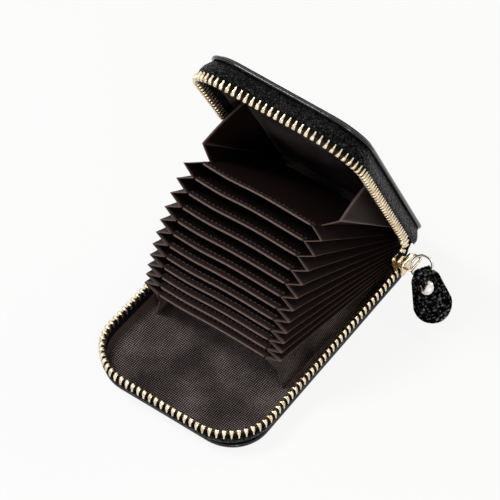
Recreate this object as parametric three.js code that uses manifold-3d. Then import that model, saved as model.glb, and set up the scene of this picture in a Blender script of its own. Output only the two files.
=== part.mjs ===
// Zip-around card holder: two leather covers joined by a soft spine, a fan of cloth dividers with
// pleated sides between them, and a metal zip round three sides. It lies on its lower cover and
// is modelled part open. X runs along the spine, +Y points from the free edge to the spine, +Z is
// up, and the origin is the middle of the lower cover's outer face. Millimetres and degrees.

import * as THREE from 'three';
import { mergeVertices } from 'three/addons/utils/BufferGeometryUtils.js';
import Module from 'manifold-3d';

const wasm = await Module();
wasm.setup();

// Case
const CASE_WIDTH = 64;
const CASE_DEPTH = 100;
const CASE_HEIGHT = 25;
const PANEL_CORNER_RADIUS = 13;
const PANEL_REAR_RADIUS = 3;
const ZIP_CORNER_RADIUS = 18;
const SIDE_LEAN_OUT = 3.2;
const FRONT_LEAN_OUT = 4.2;
const REAR_NARROWING = 1.5;
const OPEN_ANGLE = 66;
const HINGE_INSET = 1;

// Layers of a cover, from the outside in
const PANEL_THICKNESS = 1.3;
const BOARD_THICKNESS = 0.8;
const LINING_THICKNESS = 0.5;
const WALL_THICKNESS = 1.4;
const PIPING_RADIUS = 0.8;
const LAYER_GAP = 0.3;
const RIM_END_INSET = 2;
const WALL_END_INSET = -1.5;

// Zip
const TAPE_WIDTH = 2.6;
const TAPE_THICKNESS = 0.7;
const TOOTH_PITCH = 2.5;
const TOOTH_LENGTH = 1.3;
const TOOTH_HEIGHT = 2.3;
const TOOTH_THICKNESS = 2;
const BEAD_HEIGHT = 1;
const BEAD_THICKNESS = 2.6;
const TEETH_CLEARANCE = 0.5;
const STOP_LENGTH = 2.2;
const FREE_CHAIN_RADIUS = 14;
const BEND_THICKNESS = 1.2;
const BEND_START = [4, 2];
const BEND_MIDDLE = [6.4, 5.5];
const BEND_TAIL = [10, 1.2];
const BEND_END = [13.7, 1.4];

// Dividers and their pleated sides
const LEAF_COUNT = 12;
const LEAF_SIDE_MARGIN = 8.5;
const LEAF_THICKNESS = 0.7;
const LEAF_PITCH = 1.4;
const LEAF_REACH = 73;
const LEAF_REAR = 4;
const LEAF_CORNER_RADIUS = 2;
const FIRST_LEAF_ANGLE = 14;
const FIRST_LEAF_STEP = 2;
const LEAF_STEP_GROWTH = 0.16;
const PLEAT_DEPTH = 5;
const PLEAT_THICKNESS = 1.2;
const PLEAT_REAR = 6;
const GUSSET_SPREAD = 3.6;
const GUSSET_FRONT_INSET = 5;
const TOP_FOLD_SHARE = 0.16;
const TOP_FOLD_INSET = 7;
const TOP_PANEL_INSET = 15;
const BINDING_THICKNESS = 0.5;

// Spine
const SPINE_THICKNESS = 1.3;
const SPINE_HOLLOW_RADIUS = 5.6;
const SPINE_SIDE_INSET = 0.6;
const SPINE_LINING_INSET = 1.4;

// Slider
const SLIDER_LENGTH = 8;
const SLIDER_HEIGHT = 7.4;
const SLIDER_SETBACK = 3;
const WING_THICKNESS = 1;
const WING_CLEARANCE = 0.45;
const WING_CORNER_RADIUS = 1.6;
const LIP_HEIGHT = 0.6;
const LIP_DEPTH = 0.8;
const DIVIDER_THICKNESS = 0.5;
const DIVIDER_LENGTH = 3;
const BRIDGE_BAR = 1.0;
const BRIDGE_CLEARANCE = 2.3;
const BRIDGE_SPAN = 6;
const BRIDGE_RISE = 2;
const BRIDGE_SEAT_GAP = 0.1;

// Pull: the face of the ring and strap is turned by PULL_FACING and tilted up by PULL_TILT, and on
// that face the ring lies at RING_TURN from the slider and the strap at STRAP_TURN
const PULL_FACING = 0;
const PULL_TILT = 50;
const RING_TURN = 10;
const STRAP_TURN = -44;
const RING_RADIUS = 4;
const RING_WIRE_RADIUS = 0.5;
const RING_PLAY = 0.7;
const STRAP_LENGTH = 20.5;
const STRAP_WIDTH = 14.5;
const STRAP_TOP_WIDTH = 6;
const STRAP_LAYER = 0.9;
const STRAP_LOOP_CLEARANCE = 0.3;
const STRAP_TAPER = 1.2;
const STRAP_STRAIGHT = 0.8;
const STRAP_SHOULDER = 0.86;
const RIVET_CAP_RADIUS = 2.6;
const RIVET_CAP_HEIGHT = 1.1;
const RIVET_DOME = [[1, 0], [0.85, 0.65], [0.45, 0.95], [0, 1]];
const RIVET_BACK_RADIUS = 2.3;
const RIVET_BACK_HEIGHT = 0.7;
const RIVET_BACK_TAPER = 0.8;
const RIVET_POST_RADIUS = 1.1;
const RIVET_GAP = 0.15;
const RIVET_FROM_TOP = 7.6;

// Facets
const MERGE_DISTANCE = 1e-4;
const ARC_STEPS = 8;
const LEAF_ARC_STEPS = 2;
const SPINE_STEPS = 10;
const BEND_STEPS = 6;
const RING_STEPS = 24;
const WIRE_SIDES = 8;
const ROUND_STEPS = 12;

// Levels and places that follow
const rad = THREE.MathUtils.degToRad;
const HALF_WIDTH = CASE_WIDTH / 2;
const FRONT_Y = -CASE_DEPTH / 2;
const REAR_Y = CASE_DEPTH / 2;
const HINGE_Y = REAR_Y - HINGE_INSET;
const HINGE_Z = CASE_HEIGHT / 2;
const BOARD_BOTTOM = PANEL_THICKNESS + LAYER_GAP;
const LINING_BOTTOM = BOARD_BOTTOM + BOARD_THICKNESS + LAYER_GAP;
const LINING_TOP = LINING_BOTTOM + LINING_THICKNESS;
const WALL_BOTTOM = PANEL_THICKNESS + LAYER_GAP;
const TEETH_TOP = HINGE_Z - TEETH_CLEARANCE;
const TEETH_BOTTOM = TEETH_TOP - TOOTH_HEIGHT;
const TAPE_TOP = TEETH_BOTTOM - LAYER_GAP;
const TAPE_BOTTOM = TAPE_TOP - TAPE_WIDTH;
const WALL_TOP = TAPE_BOTTOM - LAYER_GAP;
const WALL_LINE = HALF_WIDTH - WALL_THICKNESS / 2;
const ZIP_LINE = WALL_LINE + SIDE_LEAN_OUT;
const WALL_FRONT = FRONT_Y + WALL_THICKNESS / 2;
const ZIP_FRONT = WALL_FRONT - FRONT_LEAN_OUT;
const RIM_END_Y = HINGE_Y - RIM_END_INSET;
const WALL_END_Y = HINGE_Y - WALL_END_INSET;
const FREE_CHAIN_Y = HINGE_Y - FREE_CHAIN_RADIUS;
const SLIDER_Y = HINGE_Y - SLIDER_SETBACK;
const WING_INNER = BEAD_THICKNESS / 2 + WING_CLEARANCE;
const WING_OUTER = WING_INNER + WING_THICKNESS;
const LEAF_HALF = HALF_WIDTH - LEAF_SIDE_MARGIN;
const PLEAT_VALLEY = LEAF_HALF + LAYER_GAP;

// Finishes
const FINISHES = {
  leather: { color: 0x17171a, roughness: 0.55, metalness: 0 },
  board: { color: 0x8a7a64, roughness: 0.9, metalness: 0 },
  lining: { color: 0x3a2d2a, roughness: 0.8, metalness: 0 },
  divider: { color: 0x4a3733, roughness: 0.75, metalness: 0 },
  tape: { color: 0x1a1a1c, roughness: 0.85, metalness: 0 },
  brass: { color: 0xd8bd84, roughness: 0.3, metalness: 1 },
  steel: { color: 0xc9c6c0, roughness: 0.22, metalness: 1 },
};

// Six times the volume of an indexed mesh, positive when its faces point out
function signedVolume(geometry) {
  const place = geometry.getAttribute('position');
  const index = geometry.getIndex();
  const corners = [new THREE.Vector3(), new THREE.Vector3(), new THREE.Vector3()];
  let sum = 0;
  for (let i = 0; i < index.count; i += 3) {
    corners.forEach((corner, k) => corner.fromBufferAttribute(place, index.getX(i + k)));
    sum += corners[0].dot(corners[1].clone().cross(corners[2]));
  }
  return sum;
}

// A geometry as one indexed closed mesh with its faces pointing out
function closed(geometry) {
  const bare = geometry.clone();
  bare.deleteAttribute('normal');
  bare.deleteAttribute('uv');
  const merged = mergeVertices(bare, MERGE_DISTANCE);
  if (signedVolume(merged) < 0) {
    const index = merged.getIndex();
    for (let i = 0; i < index.count; i += 3) {
      const second = index.getX(i + 1);
      index.setX(i + 1, index.getX(i + 2));
      index.setX(i + 2, second);
    }
  }
  merged.computeVertexNormals();
  return merged;
}

function toSolid(geometry) {
  const mesh = closed(geometry);
  return new wasm.Manifold(new wasm.Mesh({
    numProp: 3,
    vertProperties: new Float32Array(mesh.getAttribute('position').array),
    triVerts: new Uint32Array(mesh.getIndex().array),
  }));
}

function fromSolid(solid) {
  const mesh = solid.getMesh();
  const geometry = new THREE.BufferGeometry();
  geometry.setAttribute('position', new THREE.BufferAttribute(mesh.vertProperties, 3));
  geometry.setIndex(new THREE.BufferAttribute(mesh.triVerts, 1));
  return geometry;
}

// Closed mesh from a row of rings with equal counts of points; convex rings close its ends
function loft(rings) {
  const count = rings[0].length;
  const places = rings.flat().flatMap((p) => [p.x, p.y, p.z]);
  const faces = [];
  for (let r = 0; r + 1 < rings.length; r += 1) {
    for (let i = 0; i < count; i += 1) {
      const next = (i + 1) % count;
      const a = r * count + i;
      const b = r * count + next;
      faces.push(a, b, b + count, a, b + count, a + count);
    }
  }
  const last = (rings.length - 1) * count;
  for (let i = 1; i + 1 < count; i += 1) {
    faces.push(0, i + 1, i, last, last + i, last + i + 1);
  }
  const geometry = new THREE.BufferGeometry();
  geometry.setAttribute('position', new THREE.Float32BufferAttribute(places, 3));
  geometry.setIndex(faces);
  return geometry;
}

// Closed mesh of a sheet given as two grids of points, its two faces, with the edges closed
function sheet(front, back) {
  const rows = front.length;
  const columns = front[0].length;
  const size = rows * columns;
  const places = [...front.flat(), ...back.flat()].flatMap((p) => [p.x, p.y, p.z]);
  const faces = [];
  const quad = (a, b, c, d) => faces.push(a, b, c, a, c, d);
  for (let r = 0; r + 1 < rows; r += 1) {
    for (let c = 0; c + 1 < columns; c += 1) {
      const a = r * columns + c;
      quad(a, a + 1, a + columns + 1, a + columns);
      quad(size + a, size + a + columns, size + a + columns + 1, size + a + 1);
    }
  }
  const edge = [];
  for (let c = 0; c < columns; c += 1) edge.push(c);
  for (let r = 1; r < rows; r += 1) edge.push(r * columns + columns - 1);
  for (let c = columns - 2; c >= 0; c -= 1) edge.push((rows - 1) * columns + c);
  for (let r = rows - 2; r > 0; r -= 1) edge.push(r * columns);
  edge.forEach((a, i) => {
    const b = edge[(i + 1) % edge.length];
    quad(b, a, size + a, size + b);
  });
  const geometry = new THREE.BufferGeometry();
  geometry.setAttribute('position', new THREE.Float32BufferAttribute(places, 3));
  geometry.setIndex(faces);
  return geometry;
}

// Rectangle from (x0, y0) to (x1, y1) with one radius at its front corners and one at its rear
function roundedOutline(x0, y0, x1, y1, frontRadius, rearRadius) {
  const shape = new THREE.Shape();
  const quarter = Math.PI / 2;
  shape.absarc(x1 - frontRadius, y0 + frontRadius, frontRadius, -quarter, 0, false);
  shape.absarc(x1 - rearRadius, y1 - rearRadius, rearRadius, 0, quarter, false);
  shape.absarc(x0 + rearRadius, y1 - rearRadius, rearRadius, quarter, 2 * quarter, false);
  shape.absarc(x0 + frontRadius, y0 + frontRadius, frontRadius, 2 * quarter, 3 * quarter, false);
  return shape;
}

// A flat plate; each of its arcs is cut into an even number of steps
function slab(shape, bottom, thickness, steps = ARC_STEPS) {
  const options = { depth: thickness, bevelEnabled: false, curveSegments: steps / 2 };
  return new THREE.ExtrudeGeometry(shape, options).translate(0, 0, bottom);
}

// Points with outward directions along a U: down the left side, round the front, up the right
function uRun(line, front, radius, leftEnd, rightEnd) {
  const run = [{ x: -line, y: leftEnd, nx: -1, ny: 0 }];
  [-1, 1].forEach((side, corner) => {
    for (let i = 0; i <= ARC_STEPS; i += 1) {
      const angle = Math.PI + (corner + i / ARC_STEPS) * Math.PI / 2;
      const nx = Math.cos(angle);
      const ny = Math.sin(angle);
      run.push({ x: side * (line - radius) + radius * nx, y: front + radius + radius * ny, nx, ny });
    }
  });
  run.push({ x: line, y: rightEnd, nx: 1, ny: 0 });
  return run;
}

// A strip round the U whose section is a list of [outward, height] corners. It leans from the
// panel's outline at the bottom of the wall to the zip line at its top, and stands upright above.
function rimStrip(section, leftEnd, rightEnd) {
  const footRadius = PANEL_CORNER_RADIUS - WALL_THICKNESS / 2;
  const foot = uRun(WALL_LINE, WALL_FRONT, footRadius, leftEnd, rightEnd);
  const head = uRun(ZIP_LINE, ZIP_FRONT, ZIP_CORNER_RADIUS, leftEnd, rightEnd);
  const rings = foot.map((low, i) => section.map(([out, z]) => {
    const share = THREE.MathUtils.clamp((z - WALL_BOTTOM) / (WALL_TOP - WALL_BOTTOM), 0, 1);
    const x = THREE.MathUtils.lerp(low.x, head[i].x, share) + out * low.nx;
    const y = THREE.MathUtils.lerp(low.y, head[i].y, share) + out * low.ny;
    return new THREE.Vector3(x, y, z);
  }));
  return loft(rings);
}

function bar(thickness, bottom, top) {
  const half = thickness / 2;
  return [[-half, bottom], [half, bottom], [half, top], [-half, top]];
}

// Where a tooth stands: a point of the zip line, at a distance along it from its left rear end
function alongZip(distance) {
  const side = RIM_END_Y - ZIP_FRONT - ZIP_CORNER_RADIUS;
  const corner = ZIP_CORNER_RADIUS * Math.PI / 2;
  const front = 2 * (ZIP_LINE - ZIP_CORNER_RADIUS);
  const turn = (sign, done) => {
    const angle = Math.PI * (sign < 0 ? 1 : 1.5) + done / ZIP_CORNER_RADIUS;
    const x = sign * (ZIP_LINE - ZIP_CORNER_RADIUS) + ZIP_CORNER_RADIUS * Math.cos(angle);
    const y = ZIP_FRONT + ZIP_CORNER_RADIUS * (1 + Math.sin(angle));
    return { x, y, angle };
  };
  let rest = distance;
  if (rest < side) return { x: -ZIP_LINE, y: RIM_END_Y - rest, angle: Math.PI };
  rest -= side;
  if (rest < corner) return turn(-1, rest);
  rest -= corner;
  if (rest < front) return { x: rest - front / 2, y: ZIP_FRONT, angle: Math.PI * 1.5 };
  rest -= front;
  if (rest < corner) return turn(1, rest);
  rest -= corner;
  return { x: ZIP_LINE, y: ZIP_FRONT + ZIP_CORNER_RADIUS + rest, angle: 0 };
}

// The row of teeth on its beaded edge, from the left stop to a place on the right side
function zipChain(rightEnd) {
  const start = STOP_LENGTH + LAYER_GAP;
  const bead = bar(BEAD_THICKNESS, TEETH_BOTTOM, TEETH_BOTTOM + BEAD_HEIGHT);
  const toothHeight = TOOTH_HEIGHT - BEAD_HEIGHT / 2;
  let chain = toSolid(rimStrip(bead, RIM_END_Y - start, rightEnd));
  for (let s = start + TOOTH_PITCH; ; s += TOOTH_PITCH) {
    const spot = alongZip(s);
    if (spot.x >= ZIP_LINE && spot.y > rightEnd - TOOTH_LENGTH) break;
    const tooth = new THREE.BoxGeometry(TOOTH_THICKNESS, TOOTH_LENGTH, toothHeight);
    tooth.translate(0, 0, TEETH_TOP - toothHeight / 2);
    tooth.rotateZ(spot.angle).translate(spot.x, spot.y, 0);
    chain = chain.add(toSolid(tooth));
  }
  return fromSolid(chain);
}

function piping() {
  const centre = WALL_THICKNESS / 2 + PIPING_RADIUS + LAYER_GAP / 2;
  const section = [];
  for (let i = 0; i < WIRE_SIDES; i += 1) {
    const angle = (i + 0.5) * 2 * Math.PI / WIRE_SIDES;
    const out = centre + PIPING_RADIUS * Math.cos(angle);
    section.push([out, WALL_BOTTOM + PIPING_RADIUS * Math.sin(angle)]);
  }
  return rimStrip(section, WALL_END_Y, WALL_END_Y);
}

// The pieces of one cover, lying flat as the lower cover does
function coverPieces(chainEnd) {
  const inset = WALL_THICKNESS + LAYER_GAP;
  const innerRadius = ZIP_CORNER_RADIUS - inset;
  const inside = roundedOutline(
    -HALF_WIDTH + inset, FRONT_Y + inset, HALF_WIDTH - inset, RIM_END_Y, innerRadius, PANEL_REAR_RADIUS,
  );
  const outside = roundedOutline(
    -HALF_WIDTH, FRONT_Y, HALF_WIDTH, REAR_Y, PANEL_CORNER_RADIUS, PANEL_REAR_RADIUS,
  );
  const stop = new THREE.BoxGeometry(BEAD_THICKNESS, STOP_LENGTH, TOOTH_HEIGHT);
  stop.translate(-ZIP_LINE, RIM_END_Y - STOP_LENGTH / 2, TEETH_TOP - TOOTH_HEIGHT / 2);
  return {
    panel: [slab(outside, 0, PANEL_THICKNESS), 'leather'],
    board: [slab(inside, BOARD_BOTTOM, BOARD_THICKNESS), 'board'],
    lining: [slab(inside, LINING_BOTTOM, LINING_THICKNESS), 'lining'],
    wall: [rimStrip(bar(WALL_THICKNESS, WALL_BOTTOM, WALL_TOP), WALL_END_Y, WALL_END_Y), 'leather'],
    piping: [piping(), 'leather'],
    zip_tape: [rimStrip(bar(TAPE_THICKNESS, TAPE_BOTTOM, TAPE_TOP), RIM_END_Y, chainEnd), 'tape'],
    zip_teeth: [zipChain(chainEnd), 'brass'],
    zip_stop: [stop, 'brass'],
  };
}

// Share of its full width that a cover keeps at a place: the sides draw in towards the spine
function widthShare(y) {
  const start = ZIP_FRONT + ZIP_CORNER_RADIUS;
  const done = Math.max(0, (y - start) / (HINGE_Y - start));
  return 1 - done * REAR_NARROWING / ZIP_LINE;
}

function narrowed(geometry) {
  const place = geometry.getAttribute('position');
  for (let i = 0; i < place.count; i += 1) {
    place.setX(i, place.getX(i) * widthShare(place.getY(i)));
  }
  return geometry;
}

function piece(name, geometry, finish, parent) {
  const mesh = new THREE.Mesh(closed(geometry), new THREE.MeshStandardMaterial(FINISHES[finish]));
  mesh.name = name;
  parent.add(mesh);
  return mesh;
}

// Opening a layer turns it about the hinge, free edge up
function hingeGroup(angle, parent) {
  const group = new THREE.Group();
  group.position.set(0, HINGE_Y, HINGE_Z);
  group.rotation.x = -rad(angle);
  parent.add(group);
  return group;
}

// A point of a layer that stands `above` the hinge when shut, `ahead` of it, once it is opened
function opened(x, ahead, above, angle) {
  const point = new THREE.Vector3(0, -ahead, above);
  point.applyAxisAngle(new THREE.Vector3(1, 0, 0), -rad(angle));
  return new THREE.Vector3(x, HINGE_Y + point.y, HINGE_Z + point.z);
}

const holder = new THREE.Group();

// Lower cover
for (const [name, [geometry, finish]] of Object.entries(coverPieces(RIM_END_Y))) {
  piece(`lower_${name}`, narrowed(geometry), finish, holder);
}

// Upper cover: the same pieces turned over, then opened
const upper = hingeGroup(OPEN_ANGLE, holder);
for (const [name, [geometry, finish]] of Object.entries(coverPieces(FREE_CHAIN_Y))) {
  const turnedOver = narrowed(geometry).scale(1, 1, -1).translate(0, -HINGE_Y, HINGE_Z);
  piece(`upper_${name}`, turnedOver, finish, upper);
}

// Dividers: each opens by its own angle, with wider steps towards the top of the fan
function leafAngle(k) {
  return FIRST_LEAF_ANGLE + k * FIRST_LEAF_STEP + LEAF_STEP_GROWTH * k * (k - 1) / 2;
}

function leafLevel(k) {
  return (k - (LEAF_COUNT - 1) / 2) * LEAF_PITCH;
}

const leafOutline = roundedOutline(
  -LEAF_HALF, -LEAF_REACH, LEAF_HALF, -LEAF_REAR, LEAF_CORNER_RADIUS, LEAF_CORNER_RADIUS,
);
for (let k = 0; k < LEAF_COUNT; k += 1) {
  const level = leafLevel(k) - LEAF_THICKNESS / 2;
  const name = `leaf_${String(k + 1).padStart(2, '0')}`;
  const plate = slab(leafOutline, level, LEAF_THICKNESS, LEAF_ARC_STEPS);
  piece(name, plate, 'divider', hingeGroup(leafAngle(k), holder));
}

// Pleated side: from the lower lining, out and in between the dividers, to the upper lining
function gussetColumns() {
  const valley = (angle, level, x, front) => ({ angle, level, x, front });
  const liningLevel = HINGE_Z - LINING_TOP - LAYER_GAP;
  const sideFront = LEAF_REACH - GUSSET_FRONT_INSET;
  const foot = PLEAT_VALLEY + GUSSET_SPREAD;
  const columns = [valley(0, -liningLevel, foot, sideFront)];
  const first = leafAngle(0);
  const last = leafAngle(LEAF_COUNT - 1);
  const span = (liningLevel + leafLevel(LEAF_COUNT - 1)) / 2;
  columns.push(valley(first / 2, -span, PLEAT_VALLEY + GUSSET_SPREAD / 2, sideFront));
  for (let k = 0; k < LEAF_COUNT; k += 1) {
    columns.push(valley(leafAngle(k), leafLevel(k), PLEAT_VALLEY, LEAF_REACH));
    if (k + 1 < LEAF_COUNT) {
      const angle = (leafAngle(k) + leafAngle(k + 1)) / 2;
      const level = (leafLevel(k) + leafLevel(k + 1)) / 2;
      columns.push(valley(angle, level, PLEAT_VALLEY + PLEAT_DEPTH, LEAF_REACH));
    }
  }
  const topFold = THREE.MathUtils.lerp(last, OPEN_ANGLE, TOP_FOLD_SHARE);
  columns.push(valley(topFold, span, PLEAT_VALLEY + PLEAT_DEPTH, LEAF_REACH - TOP_FOLD_INSET));
  columns.push(valley(OPEN_ANGLE, liningLevel, foot, LEAF_REACH - TOP_PANEL_INSET));
  return columns;
}

function gusset(side) {
  const face = (extra) => [PLEAT_REAR, null].map((rear) => gussetColumns().map((column) => {
    const ahead = rear ?? column.front;
    return opened(side * (column.x + extra), ahead, column.level, column.angle);
  }));
  return sheet(face(0), face(PLEAT_THICKNESS));
}

piece('gusset_left', gusset(-1), 'divider', holder);
piece('gusset_right', gusset(1), 'divider', holder);

// A strip along X whose section runs behind a row of points of the YZ plane
function xStrip(line, thickness, halfWidth) {
  const face = (offset) => line.map((point, i) => {
    const before = line[Math.max(0, i - 1)];
    const after = line[Math.min(line.length - 1, i + 1)];
    const along = after.clone().sub(before).normalize();
    const out = new THREE.Vector3(0, along.z, -along.y).multiplyScalar(offset);
    const place = point.clone().add(out);
    return [-halfWidth, halfWidth].map((x) => new THREE.Vector3(x, place.y, place.z));
  });
  return sheet(face(0), face(thickness));
}

// Binding that holds the dividers' rear edges together
const bindingLine = Array.from({ length: LEAF_COUNT }, (_, k) => (
  opened(0, LEAF_REAR - LAYER_GAP, leafLevel(k), leafAngle(k))
));
piece('leaf_binding', xStrip(bindingLine, BINDING_THICKNESS, LEAF_HALF), 'lining', holder);

// Spine leather, drawn in between the two covers' rear edges, and the lining in front of it
function spineLine(ahead, level, hollow) {
  return new THREE.CatmullRomCurve3([
    opened(0, ahead, -level, 0),
    opened(0, -hollow, 0, OPEN_ANGLE / 2),
    opened(0, ahead, level, OPEN_ANGLE),
  ]).getPoints(SPINE_STEPS);
}

const spineHalf = HALF_WIDTH * widthShare(HINGE_Y) - SPINE_SIDE_INSET;
const leatherLine = spineLine(-HINGE_INSET - LAYER_GAP, HINGE_Z - PANEL_THICKNESS / 2, SPINE_HOLLOW_RADIUS);
piece('spine_leather', xStrip(leatherLine, SPINE_THICKNESS, spineHalf), 'leather', holder);
const liningHollow = SPINE_HOLLOW_RADIUS - LINING_THICKNESS - LAYER_GAP;
const liningLine = spineLine(RIM_END_INSET - LAYER_GAP, HINGE_Z - LINING_TOP, liningHollow);
const spineLining = xStrip(liningLine, LINING_THICKNESS, spineHalf - SPINE_LINING_INSET);
piece('spine_lining', spineLining, 'lining', holder);

// Flexible end of the upper row of teeth, bent down into the slider. The BEND_ pairs are places
// ahead of the hinge and above it: the first two on the lower cover, the others on the upper.
const bendLine = new THREE.CatmullRomCurve3([
  opened(0, ...BEND_START, 0),
  opened(0, ...BEND_MIDDLE, 0),
  opened(0, ...BEND_TAIL, OPEN_ANGLE),
  opened(0, ...BEND_END, OPEN_ANGLE),
]);
const bend = xStrip(bendLine.getPoints(BEND_STEPS), BEND_THICKNESS, BEND_THICKNESS / 2);
const bendX = ZIP_LINE * widthShare((SLIDER_Y + FREE_CHAIN_Y) / 2);
piece('upper_zip_end', bend.translate(bendX, 0, 0), 'brass', holder);

// Slider: two wings either side of the teeth, a divider between the rows, and a bridge outside
const sliderPlace = new THREE.Group();
sliderPlace.position.set(ZIP_LINE * widthShare(SLIDER_Y), SLIDER_Y, HINGE_Z);
holder.add(sliderPlace);

// Plane with +Y across, +Z up and its thickness along +X
const acrossX = new THREE.Matrix4().makeBasis(
  new THREE.Vector3(0, 1, 0), new THREE.Vector3(0, 0, 1), new THREE.Vector3(1, 0, 0),
);

function sliderBody() {
  const halfLength = SLIDER_LENGTH / 2;
  const halfHeight = SLIDER_HEIGHT / 2;
  const outline = roundedOutline(
    -halfLength, -halfHeight, halfLength, halfHeight, WING_CORNER_RADIUS, WING_CORNER_RADIUS,
  );
  const dividerY = -halfLength + DIVIDER_LENGTH / 2 + WING_CORNER_RADIUS / 2;
  const post = new THREE.BoxGeometry(2 * WING_OUTER - WING_THICKNESS, DIVIDER_LENGTH, DIVIDER_THICKNESS);
  let body = toSolid(post.translate(0, dividerY, 0));
  for (const side of [-1, 1]) {
    const start = side > 0 ? WING_INNER : -WING_OUTER;
    body = body.add(toSolid(slab(outline, start, WING_THICKNESS).applyMatrix4(acrossX)));
    for (const edge of [-1, 1]) {
      const depth = LIP_DEPTH + WING_THICKNESS / 2;
      const length = SLIDER_LENGTH - 2 * WING_CORNER_RADIUS;
      const lip = new THREE.BoxGeometry(depth, length, LIP_HEIGHT);
      lip.translate(side * (WING_INNER - LIP_DEPTH + depth / 2), 0, edge * (halfHeight - LIP_HEIGHT / 2));
      body = body.add(toSolid(lip));
    }
  }
  return fromSolid(body);
}

function sliderBridge() {
  const rise = BRIDGE_CLEARANCE + BRIDGE_BAR;
  const half = BRIDGE_SPAN / 2;
  const arch = new THREE.Shape();
  arch.moveTo(-half - BRIDGE_BAR, 0);
  arch.lineTo(-half, 0);
  arch.lineTo(-half, BRIDGE_CLEARANCE);
  arch.lineTo(half, BRIDGE_CLEARANCE);
  arch.lineTo(half, 0);
  arch.lineTo(half + BRIDGE_BAR, 0);
  arch.lineTo(half + BRIDGE_BAR, rise - BRIDGE_BAR / 2);
  arch.lineTo(half, rise);
  arch.lineTo(-half, rise);
  arch.lineTo(-half - BRIDGE_BAR, rise - BRIDGE_BAR / 2);
  const stand = new THREE.Matrix4().makeBasis(
    new THREE.Vector3(0, 1, 0), new THREE.Vector3(1, 0, 0), new THREE.Vector3(0, 0, -1),
  );
  const geometry = slab(arch, -BRIDGE_BAR / 2, BRIDGE_BAR).applyMatrix4(stand);
  return geometry.translate(WING_OUTER + BRIDGE_SEAT_GAP, 0, BRIDGE_RISE);
}

piece('slider_body', sliderBody(), 'brass', sliderPlace);
piece('slider_bridge', sliderBridge(), 'brass', sliderPlace);

// Pull: a ring on the bridge's bar and a folded leather strap on the ring. In the strap's group
// +X runs along the strap from the ring's centre, +Y across it and +Z out of its face.
const barOut = WING_OUTER + BRIDGE_SEAT_GAP + BRIDGE_CLEARANCE + BRIDGE_BAR / 2;
const facing = new THREE.Vector3(
  Math.cos(rad(PULL_TILT)) * Math.sin(rad(PULL_FACING)),
  -Math.cos(rad(PULL_TILT)) * Math.cos(rad(PULL_FACING)),
  Math.sin(rad(PULL_TILT)),
);
const sideways = new THREE.Vector3(1, 0, 0).addScaledVector(facing, -facing.x).normalize();
const upwards = facing.clone().cross(sideways);
const pullFace = new THREE.Matrix4().makeBasis(sideways, upwards, facing);

function pullGroup(parent, turn) {
  const group = new THREE.Group();
  group.rotation.z = rad(turn);
  parent.add(group);
  return group;
}

const pullPlace = new THREE.Group();
pullPlace.quaternion.setFromRotationMatrix(pullFace);
pullPlace.position.set(barOut, 0, BRIDGE_RISE);
sliderPlace.add(pullPlace);

const ringCentre = RING_RADIUS - BRIDGE_BAR / 2 - RING_WIRE_RADIUS - RING_PLAY;
const ringPlace = pullGroup(pullPlace, RING_TURN);
const ring = new THREE.TorusGeometry(RING_RADIUS, RING_WIRE_RADIUS, WIRE_SIDES, RING_STEPS);
piece('pull_ring', ring.translate(ringCentre, 0, 0), 'steel', ringPlace);
const strapPlace = pullGroup(ringPlace, STRAP_TURN - RING_TURN);
strapPlace.position.set(ringCentre, 0, 0);

// The strap's fold holds the ring's far bend across the width of its top
const topHalf = STRAP_TOP_WIDTH / 2;
const eyeRadius = RING_WIRE_RADIUS + STRAP_LOOP_CLEARANCE;
const eyeStart = Math.sqrt(RING_RADIUS ** 2 - (topHalf + RING_WIRE_RADIUS) ** 2);
const foldRadius = eyeRadius + STRAP_LAYER;
const strapStart = eyeStart - foldRadius;
const strapEnd = strapStart + STRAP_LENGTH;
const rivetX = strapStart + RIVET_FROM_TOP;

function strapProfile() {
  const profile = new THREE.Shape();
  const tail = RING_RADIUS + STRAP_TAPER;
  profile.absarc(eyeStart, 0, foldRadius, Math.PI / 2, 3 * Math.PI / 2, false);
  profile.lineTo(RING_RADIUS, -foldRadius);
  profile.lineTo(tail, -STRAP_LAYER);
  profile.lineTo(strapEnd, -STRAP_LAYER);
  profile.lineTo(strapEnd, STRAP_LAYER);
  profile.lineTo(tail, STRAP_LAYER);
  profile.lineTo(RING_RADIUS, foldRadius);
  const eye = new THREE.Path();
  eye.absarc(eyeStart, 0, eyeRadius, Math.PI / 2, 3 * Math.PI / 2, false);
  eye.absarc(RING_RADIUS, 0, eyeRadius, -Math.PI / 2, Math.PI / 2, false);
  profile.holes.push(eye);
  return profile;
}

function strapPlan() {
  const half = STRAP_WIDTH / 2;
  const endCentre = strapEnd - half;
  const start = strapStart - STRAP_LAYER;
  const straight = strapStart + STRAP_STRAIGHT;
  const middle = (straight + endCentre) / 2;
  const shoulder = half * STRAP_SHOULDER;
  const plan = new THREE.Shape();
  plan.moveTo(start, -topHalf);
  plan.lineTo(straight, -topHalf);
  plan.quadraticCurveTo(middle, -shoulder, endCentre, -half);
  plan.absarc(endCentre, 0, half, -Math.PI / 2, Math.PI / 2, false);
  plan.quadraticCurveTo(middle, shoulder, straight, topHalf);
  plan.lineTo(start, topHalf);
  return plan;
}

function strapSolid() {
  const side = new THREE.Matrix4().makeBasis(
    new THREE.Vector3(1, 0, 0), new THREE.Vector3(0, 0, 1), new THREE.Vector3(0, -1, 0),
  );
  const folded = slab(strapProfile(), -STRAP_WIDTH, 2 * STRAP_WIDTH).applyMatrix4(side);
  const cut = slab(strapPlan(), -2 * foldRadius, 4 * foldRadius);
  const holeRadius = RIVET_POST_RADIUS + RIVET_GAP;
  const hole = new THREE.CylinderGeometry(holeRadius, holeRadius, 4 * STRAP_LAYER, ROUND_STEPS);
  hole.rotateX(Math.PI / 2).translate(rivetX, 0, 0);
  return fromSolid(toSolid(folded).intersect(toSolid(cut)).subtract(toSolid(hole)));
}

piece('pull_strap', strapSolid(), 'leather', strapPlace);

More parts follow.
